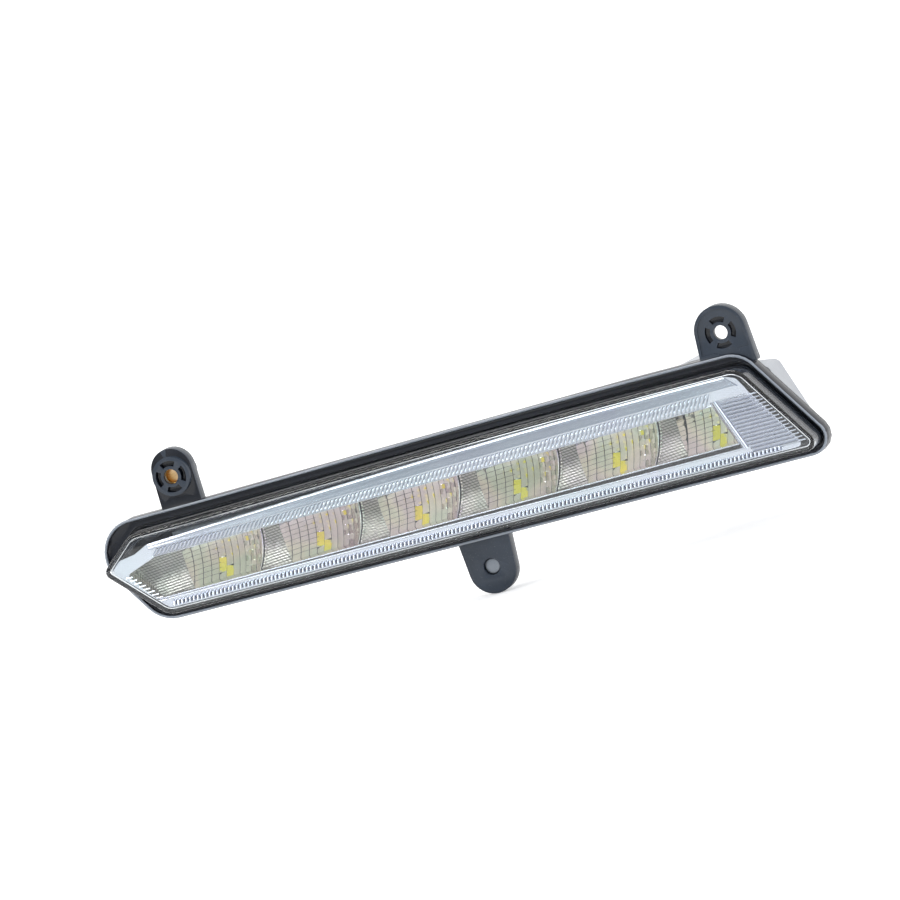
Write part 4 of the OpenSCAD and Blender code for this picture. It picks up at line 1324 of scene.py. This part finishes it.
    def left_teeth(self) -> list[Obj]:
        """Builds the short teeth between the left end of the window and the edge."""
        profile = ((-0.5, 0.2), (-0.3, -0.45), (0.0, -0.62), (0.3, -0.45), (0.5, 0.2))
        teeth = []
        for k in range(9):
            z = FORM.gap_bottom + 7.6 + k * self.rib_pitch
            x = 6.4 + (FORM.tip_z - z) * 0.97
            columns = [
                [(at, self.face + y, z + dz) for dz, y in profile] for at in even(x, x + 3.3, 4)
            ]
            teeth.append(loft("tooth", columns, self.face + self.sunk))
        return teeth

    def paint_gap_shade(self, obj: Obj) -> None:
        """Paints shade into the roots between the knurled strip's teeth, with a darker metallised
        finish.
        """
        obj.data.materials.append(Finish.GAP.material())
        low = FORM.bezel_low + 0.35
        for face in obj.data.polygons:
            x, y, z = middle_of(face)
            strip = low + 0.4 < z < low + 2.6 and self.knurl_start < x < self.knurl_end
            if strip and self.face - 0.45 < y < self.face - 0.02 and face.normal.y < -0.3:
                face.material_index = 1

    def build(self) -> None:
        """Builds the whole bezel as one piece, and the shade behind its slot."""
        parts = [self.plate(), self.smooth_band(), *self.ridge_rows(), *self.beads()]
        parts += [self.end_bar(), self.end_ribs(), *self.comb(), *self.left_teeth()]
        obj = join("bezel_frame", parts)
        smooth(obj, 40)
        stand_for(obj, Finish.BEZEL, "bezel")
        stand_for(self.slot_shade(), Finish.SHADE, "housing")
        self.paint_gap_shade(obj)


# ---------------------------------------------------------------- mouldings and hardware


@dataclass
class RoundedMoulding:
    """A CAD node's copy with its edges broken as a real mould or tool leaves them."""

    node: str
    name: str
    finish: Finish
    slot: str
    radius_mm: float
    segments: int

    def build(self) -> Obj:
        """Returns the rounded copy that stands for the node."""
        obj = add_object(self.name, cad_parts[self.node].data.copy())
        edit(
            obj,
            lambda: bpy.ops.mesh.remove_doubles(threshold=MERGE),
            lambda: bpy.ops.mesh.dissolve_limited(angle_limit=math.radians(0.6)),
        )
        bevel = obj.modifiers.new("broken_edges", "BEVEL")
        bevel.width = self.radius_mm / 1000
        bevel.segments = self.segments
        bevel.limit_method = "ANGLE"
        bevel.angle_limit = math.radians(38)
        bpy.ops.object.modifier_apply(modifier=bevel.name)
        smooth(obj, 30)
        return stand_for(obj, self.finish, self.node)


@dataclass
class HousingMoulding(RoundedMoulding):
    """The housing: its mould is polished round the lens and grained on ears and back. The grained
    finish is a painted sheen; the ear recesses keep the near-black one as painted shade.
    """

    # Bore x, depth of the ear's face and reach of the recesses painted dark as shade, for each
    # upper ear
    ears: tuple[Point3, ...] = (
        (BORE_X, BORE_Y, 11.0),
        (BORE_X - 270.5, BORE_Y - 3.8, 8.6),
    )
    back_y: float = 6.5

    def in_recess(self, face: Face) -> bool:
        """Returns True for a face in the recesses round an upper bore, which keep the near-black
        finish as painted shade.
        """
        x, y, z = middle_of(face)
        if face.normal.y >= 0.5 or abs(y - BORE_Y) <= 0.2:
            return False
        return any(
            math.hypot(x - bore, z - BORE_Z) < reach and 0.8 < y - ear < 5.5
            for bore, ear, reach in self.ears
        )

    def build(self) -> Obj:
        """Returns the rounded housing with its two finishes: the near-black one, also painted into
        the ear recesses as shade, and the grained one, painted lighter as sheen.
        """
        obj = super().build()
        obj.data.materials.append(Finish.HOUSING_GRAIN.material())
        for face in obj.data.polygons:
            x, y, z = middle_of(face)
            beside = z > FORM.top_z(x) + 0.2 or z < -0.2
            # Recess faces keep the near-black finish as painted shade; faces beside the lens and at
            # the back get the grained finish, a painted sheen
            if (beside and not self.in_recess(face)) or y > self.back_y:
                face.material_index = 1
        return obj


@dataclass
class FlangeLip:
    """The rounded outer lip of the flange, painted light grey as a highlight that shows as one fine
    line.
    """

    radius: float = 0.65
    front: float = -1.6
    steps: int = 10

    def outline(self) -> list[Point]:
        """Returns the outer edge of the flange."""
        top = FORM.flange_right
        arch = even(FORM.right_edge(top) - FORM.corner_right, 22.0, 7)[1:-1]
        left = FORM.left_low - FORM.slant * FORM.flange_left
        return rounded(
            [(FORM.left_low, 0.0, 16.0), (FORM.right_low, 0.0, FORM.corner_low_right)]
            + [(FORM.right_edge(top), top, FORM.corner_right)]
            + [(x, FORM.top_z(x), 0.0) for x in arch]
            + [(left, FORM.flange_left, FORM.corner_left)],
        )

    def build(self) -> None:
        """Builds the rounded crest of the lip as a closed ring."""
        base = self.outline()
        rings = []
        for t in even(0.0, 2 * math.pi, self.steps)[:-1]:
            y = self.front - self.radius * math.sin(t)
            rings.append([(x, y, z) for x, z in inset(base, self.radius * (1 - math.cos(t)))])
        obj = ring_mesh("flange_lip", rings, True)
        smooth(obj, 60)
        stand_for(obj, Finish.LIP, "housing")


# CAD node, name of the piece, finish, slot, radius of its broken edges in mm and their segments
MOULDING_ROWS: tuple[tuple[str, str, Finish, str, float, int], ...] = (
    ("driver_cover", "cover_moulding", Finish.COVER, "cover_grey", 0.6, 3),
    ("connector_socket", "socket_moulding", Finish.NYLON_BLACK, "connector_black", 0.25, 2),
    ("vent_cap", "breather_cap", Finish.NYLON_BLACK, "connector_black", 0.3, 2),
    ("ear_sleeve", "brass_sleeve", Finish.BRASS, "contact_brass", 0.3, 2),
    ("locating_pin", "steel_pin", Finish.STEEL, "pin_steel", 0.5, 3),
    ("cover_screws", "cover_screw_set", Finish.ZINC, "screw_steel", 0.3, 2),
    ("reflector_screws", "reflector_screw_set", Finish.ZINC, "screw_steel", 0.3, 2),
    ("connector_seal", "socket_seal", Finish.SEAL, "seal_orange", 0.25, 2),
    ("heat_spreader", "finned_spreader", Finish.ALUMINIUM, "aluminium", 0.15, 2),
    ("driver_inductor", "drum_inductor", Finish.FERRITE, "ferrite", 0.25, 2),
    ("driver_capacitor_1", "capacitor_near", Finish.SLEEVE_BLUE, "capacitor", 0.5, 3),
    ("driver_capacitor_2", "capacitor_far", Finish.SLEEVE_BLUE, "capacitor", 0.5, 3),
    ("driver_terminal", "driver_terminal_block", Finish.NYLON_IVORY, "terminal_white", 0.3, 2),
    ("board_terminal", "board_terminal_block", Finish.NYLON_IVORY, "terminal_white", 0.3, 2),
)

PLAIN_NODES: dict[str, Finish] = {
    "sealant_bead": Finish.SEALANT,
    "led_board": Finish.BOARD_WHITE,
    **{f"led_{i}": Finish.PHOSPHOR for i in range(1, 7)},
    "thermal_pad": Finish.PAD,
    "board_screws": Finish.ZINC,
    "cover_gasket": Finish.RUBBER,
    "driver_board": Finish.BOARD_GREEN,
    "driver_screws": Finish.ZINC,
    "driver_regulator": Finish.EPOXY,
    "driver_diode": Finish.EPOXY,
    "lead_positive": Finish.WIRE_RED,
    "lead_negative": Finish.WIRE_BLACK,
    "lead_grommet": Finish.RUBBER,
    "connector_contacts": Finish.BRASS,
    "vent_membrane": Finish.MEMBRANE,
}


def dress_plain_nodes() -> None:
    """Dresses the CAD nodes whose shape is right as it is."""
    for node, finish in PLAIN_NODES.items():
        dress(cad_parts[node], finish)
        log.info("%s dressed as %s", node, finish.value.name)


# ---------------------------------------------------------------- studio


@dataclass(frozen=True)
class SoftBox:
    """An area light at an offset in metres from the lamp, turned towards it."""

    name: str
    offset: tuple[float, float, float]
    size: float
    power: float
    colour: str

    def build(self, middle: Vector) -> None:
        """Hangs the light."""
        data = bpy.data.lights.new(self.name, "AREA")
        data.shape = "RECTANGLE"
        data.size, data.size_y = self.size, self.size * 0.7
        data.energy = self.power
        data.color = linear(self.colour)[:3]
        light = add_object(self.name, data)
        light.location = middle + Vector(self.offset)
        light.rotation_euler = (-Vector(self.offset)).to_track_quat("-Z", "Y").to_euler()


@dataclass
class Studio:
    """Pale floor, soft light, and the camera at the photograph's angle."""

    roll: float = 16.7
    distance: float = 5.0
    frame_mm: float = 405.0
    sensor_mm: float = 36.0
    aim: Point3 = (179.0, -5.0, 26.5)
    shift_right_mm: float = 7.2
    shift_down_mm: float = 15.75
    lights: list[SoftBox] = field(
        default_factory=lambda: [
            SoftBox("key_softbox", (-1.1, -1.5, 1.3), 1.1, 13.0, "#fffdf8"),
            SoftBox("fill_softbox", (1.3, -1.2, 0.5), 0.9, 5.0, "#f2f6ff"),
            SoftBox("top_softbox", (0.0, 0.3, 1.6), 1.2, 8.0, "#ffffff"),
            SoftBox("left_strip", (-1.6, -0.5, 0.1), 0.5, 5.0, "#f6f8ff"),
        ]
    )

    def camera(self) -> None:
        """Sets the camera so that the lamp stands in the frame as in the photograph."""
        a, r = math.radians(VIEW_AZIMUTH), math.radians(self.roll)
        back = to_camera()
        right = Vector((math.cos(a), math.sin(a), 0.0))
        up = back.cross(right)
        rolled_right = right * math.cos(r) - up * math.sin(r)
        rolled_up = up * math.cos(r) + right * math.sin(r)
        target = Vector(place(*self.aim))
        target += rolled_up * self.shift_down_mm / 1000 - rolled_right * self.shift_right_mm / 1000
        data = bpy.data.cameras.new("camera")
        data.sensor_width = self.sensor_mm
        data.lens = self.sensor_mm * self.distance / (self.frame_mm / 1000)
        data.clip_start, data.clip_end = 0.05, 60.0
        camera = add_object("camera", data)
        turn = Matrix((rolled_right, rolled_up, back)).transposed()
        camera.matrix_world = Matrix.Translation(target + back * self.distance) @ turn.to_4x4()
        bpy.context.scene.camera = camera

    def floor(self) -> None:
        """Lays a white floor that keeps the lamp's soft shadow."""
        pick()
        below = CAD_BOX[0][2] - 0.0002
        bpy.ops.mesh.primitive_plane_add(size=14, location=(-0.13, 0, below))
        plane = bpy.context.active_object
        plane.name = "floor"
        material, tree = new_tree("matt_white_card")
        seen = add_node(tree, "ShaderNodeLightPath").outputs["Is Camera Ray"]
        card = add_node(tree, "ShaderNodeBsdfDiffuse", {"Color": linear("#f4f4f4")})
        glow = add_node(tree, "ShaderNodeEmission", {"Strength": 0.4, "Color": seen})
        total = add_node(tree, "ShaderNodeAddShader", {0: card.outputs[0], 1: glow.outputs[0]})
        add_node(tree, "ShaderNodeOutputMaterial", {"Surface": total.outputs[0]})
        plane.data.materials.append(material)

    def world(self) -> None:
        """Sets the room: white behind the lamp, pale grey in front, lighter above."""
        world = bpy.data.worlds.new("room")
        bpy.context.scene.world = world
        world.use_nodes = True
        tree = world.node_tree
        tree.nodes.clear()
        way = add_node(tree, "ShaderNodeTexCoord").outputs["Generated"]
        parts = add_node(tree, "ShaderNodeSeparateXYZ", {"Vector": way}).outputs
        rise = remap(tree, parts["Z"], 0.0, 1.0, from_min=-1.0)
        stops = ((0.3, "#5c5f66"), (0.5, "#a4a7ad"), (0.62, "#d0d4da"), (0.85, "#f4f6fa"))
        height = tones(tree, rise, *stops)
        behind = remap(tree, parts["Y"], 0.0, 1.0, from_min=-0.4, from_max=0.0)
        room = blend(tree, behind, height, (1.0, 1.0, 1.0, 1.0))
        sky = add_node(tree, "ShaderNodeBackground", {"Strength": 1.0, "Color": room})
        add_node(tree, "ShaderNodeOutputWorld", {"Surface": sky.outputs[0]})

    def build(self) -> None:
        """Builds the studio."""
        self.camera()
        self.floor()
        self.world()
        for light in self.lights:
            light.build(Vector(place(*self.aim)))
        bpy.context.scene.view_settings.view_transform = "Standard"


def main() -> None:
    """Builds the studio and every piece of the lamp."""
    logging.basicConfig(level=logging.INFO, format="%(name)s: %(message)s")
    builders = [Studio(), LensShell(), Reflector(), Bezel(), FlangeLip()]
    builders.append(
        HousingMoulding("housing", "housing_moulding", Finish.HOUSING, "housing_black", 0.3, 2)
    )
    builders += [RoundedMoulding(*row) for row in MOULDING_ROWS]
    for builder in builders:
        builder.build()
    dress_plain_nodes()


if __name__ == "__main__":
    main()
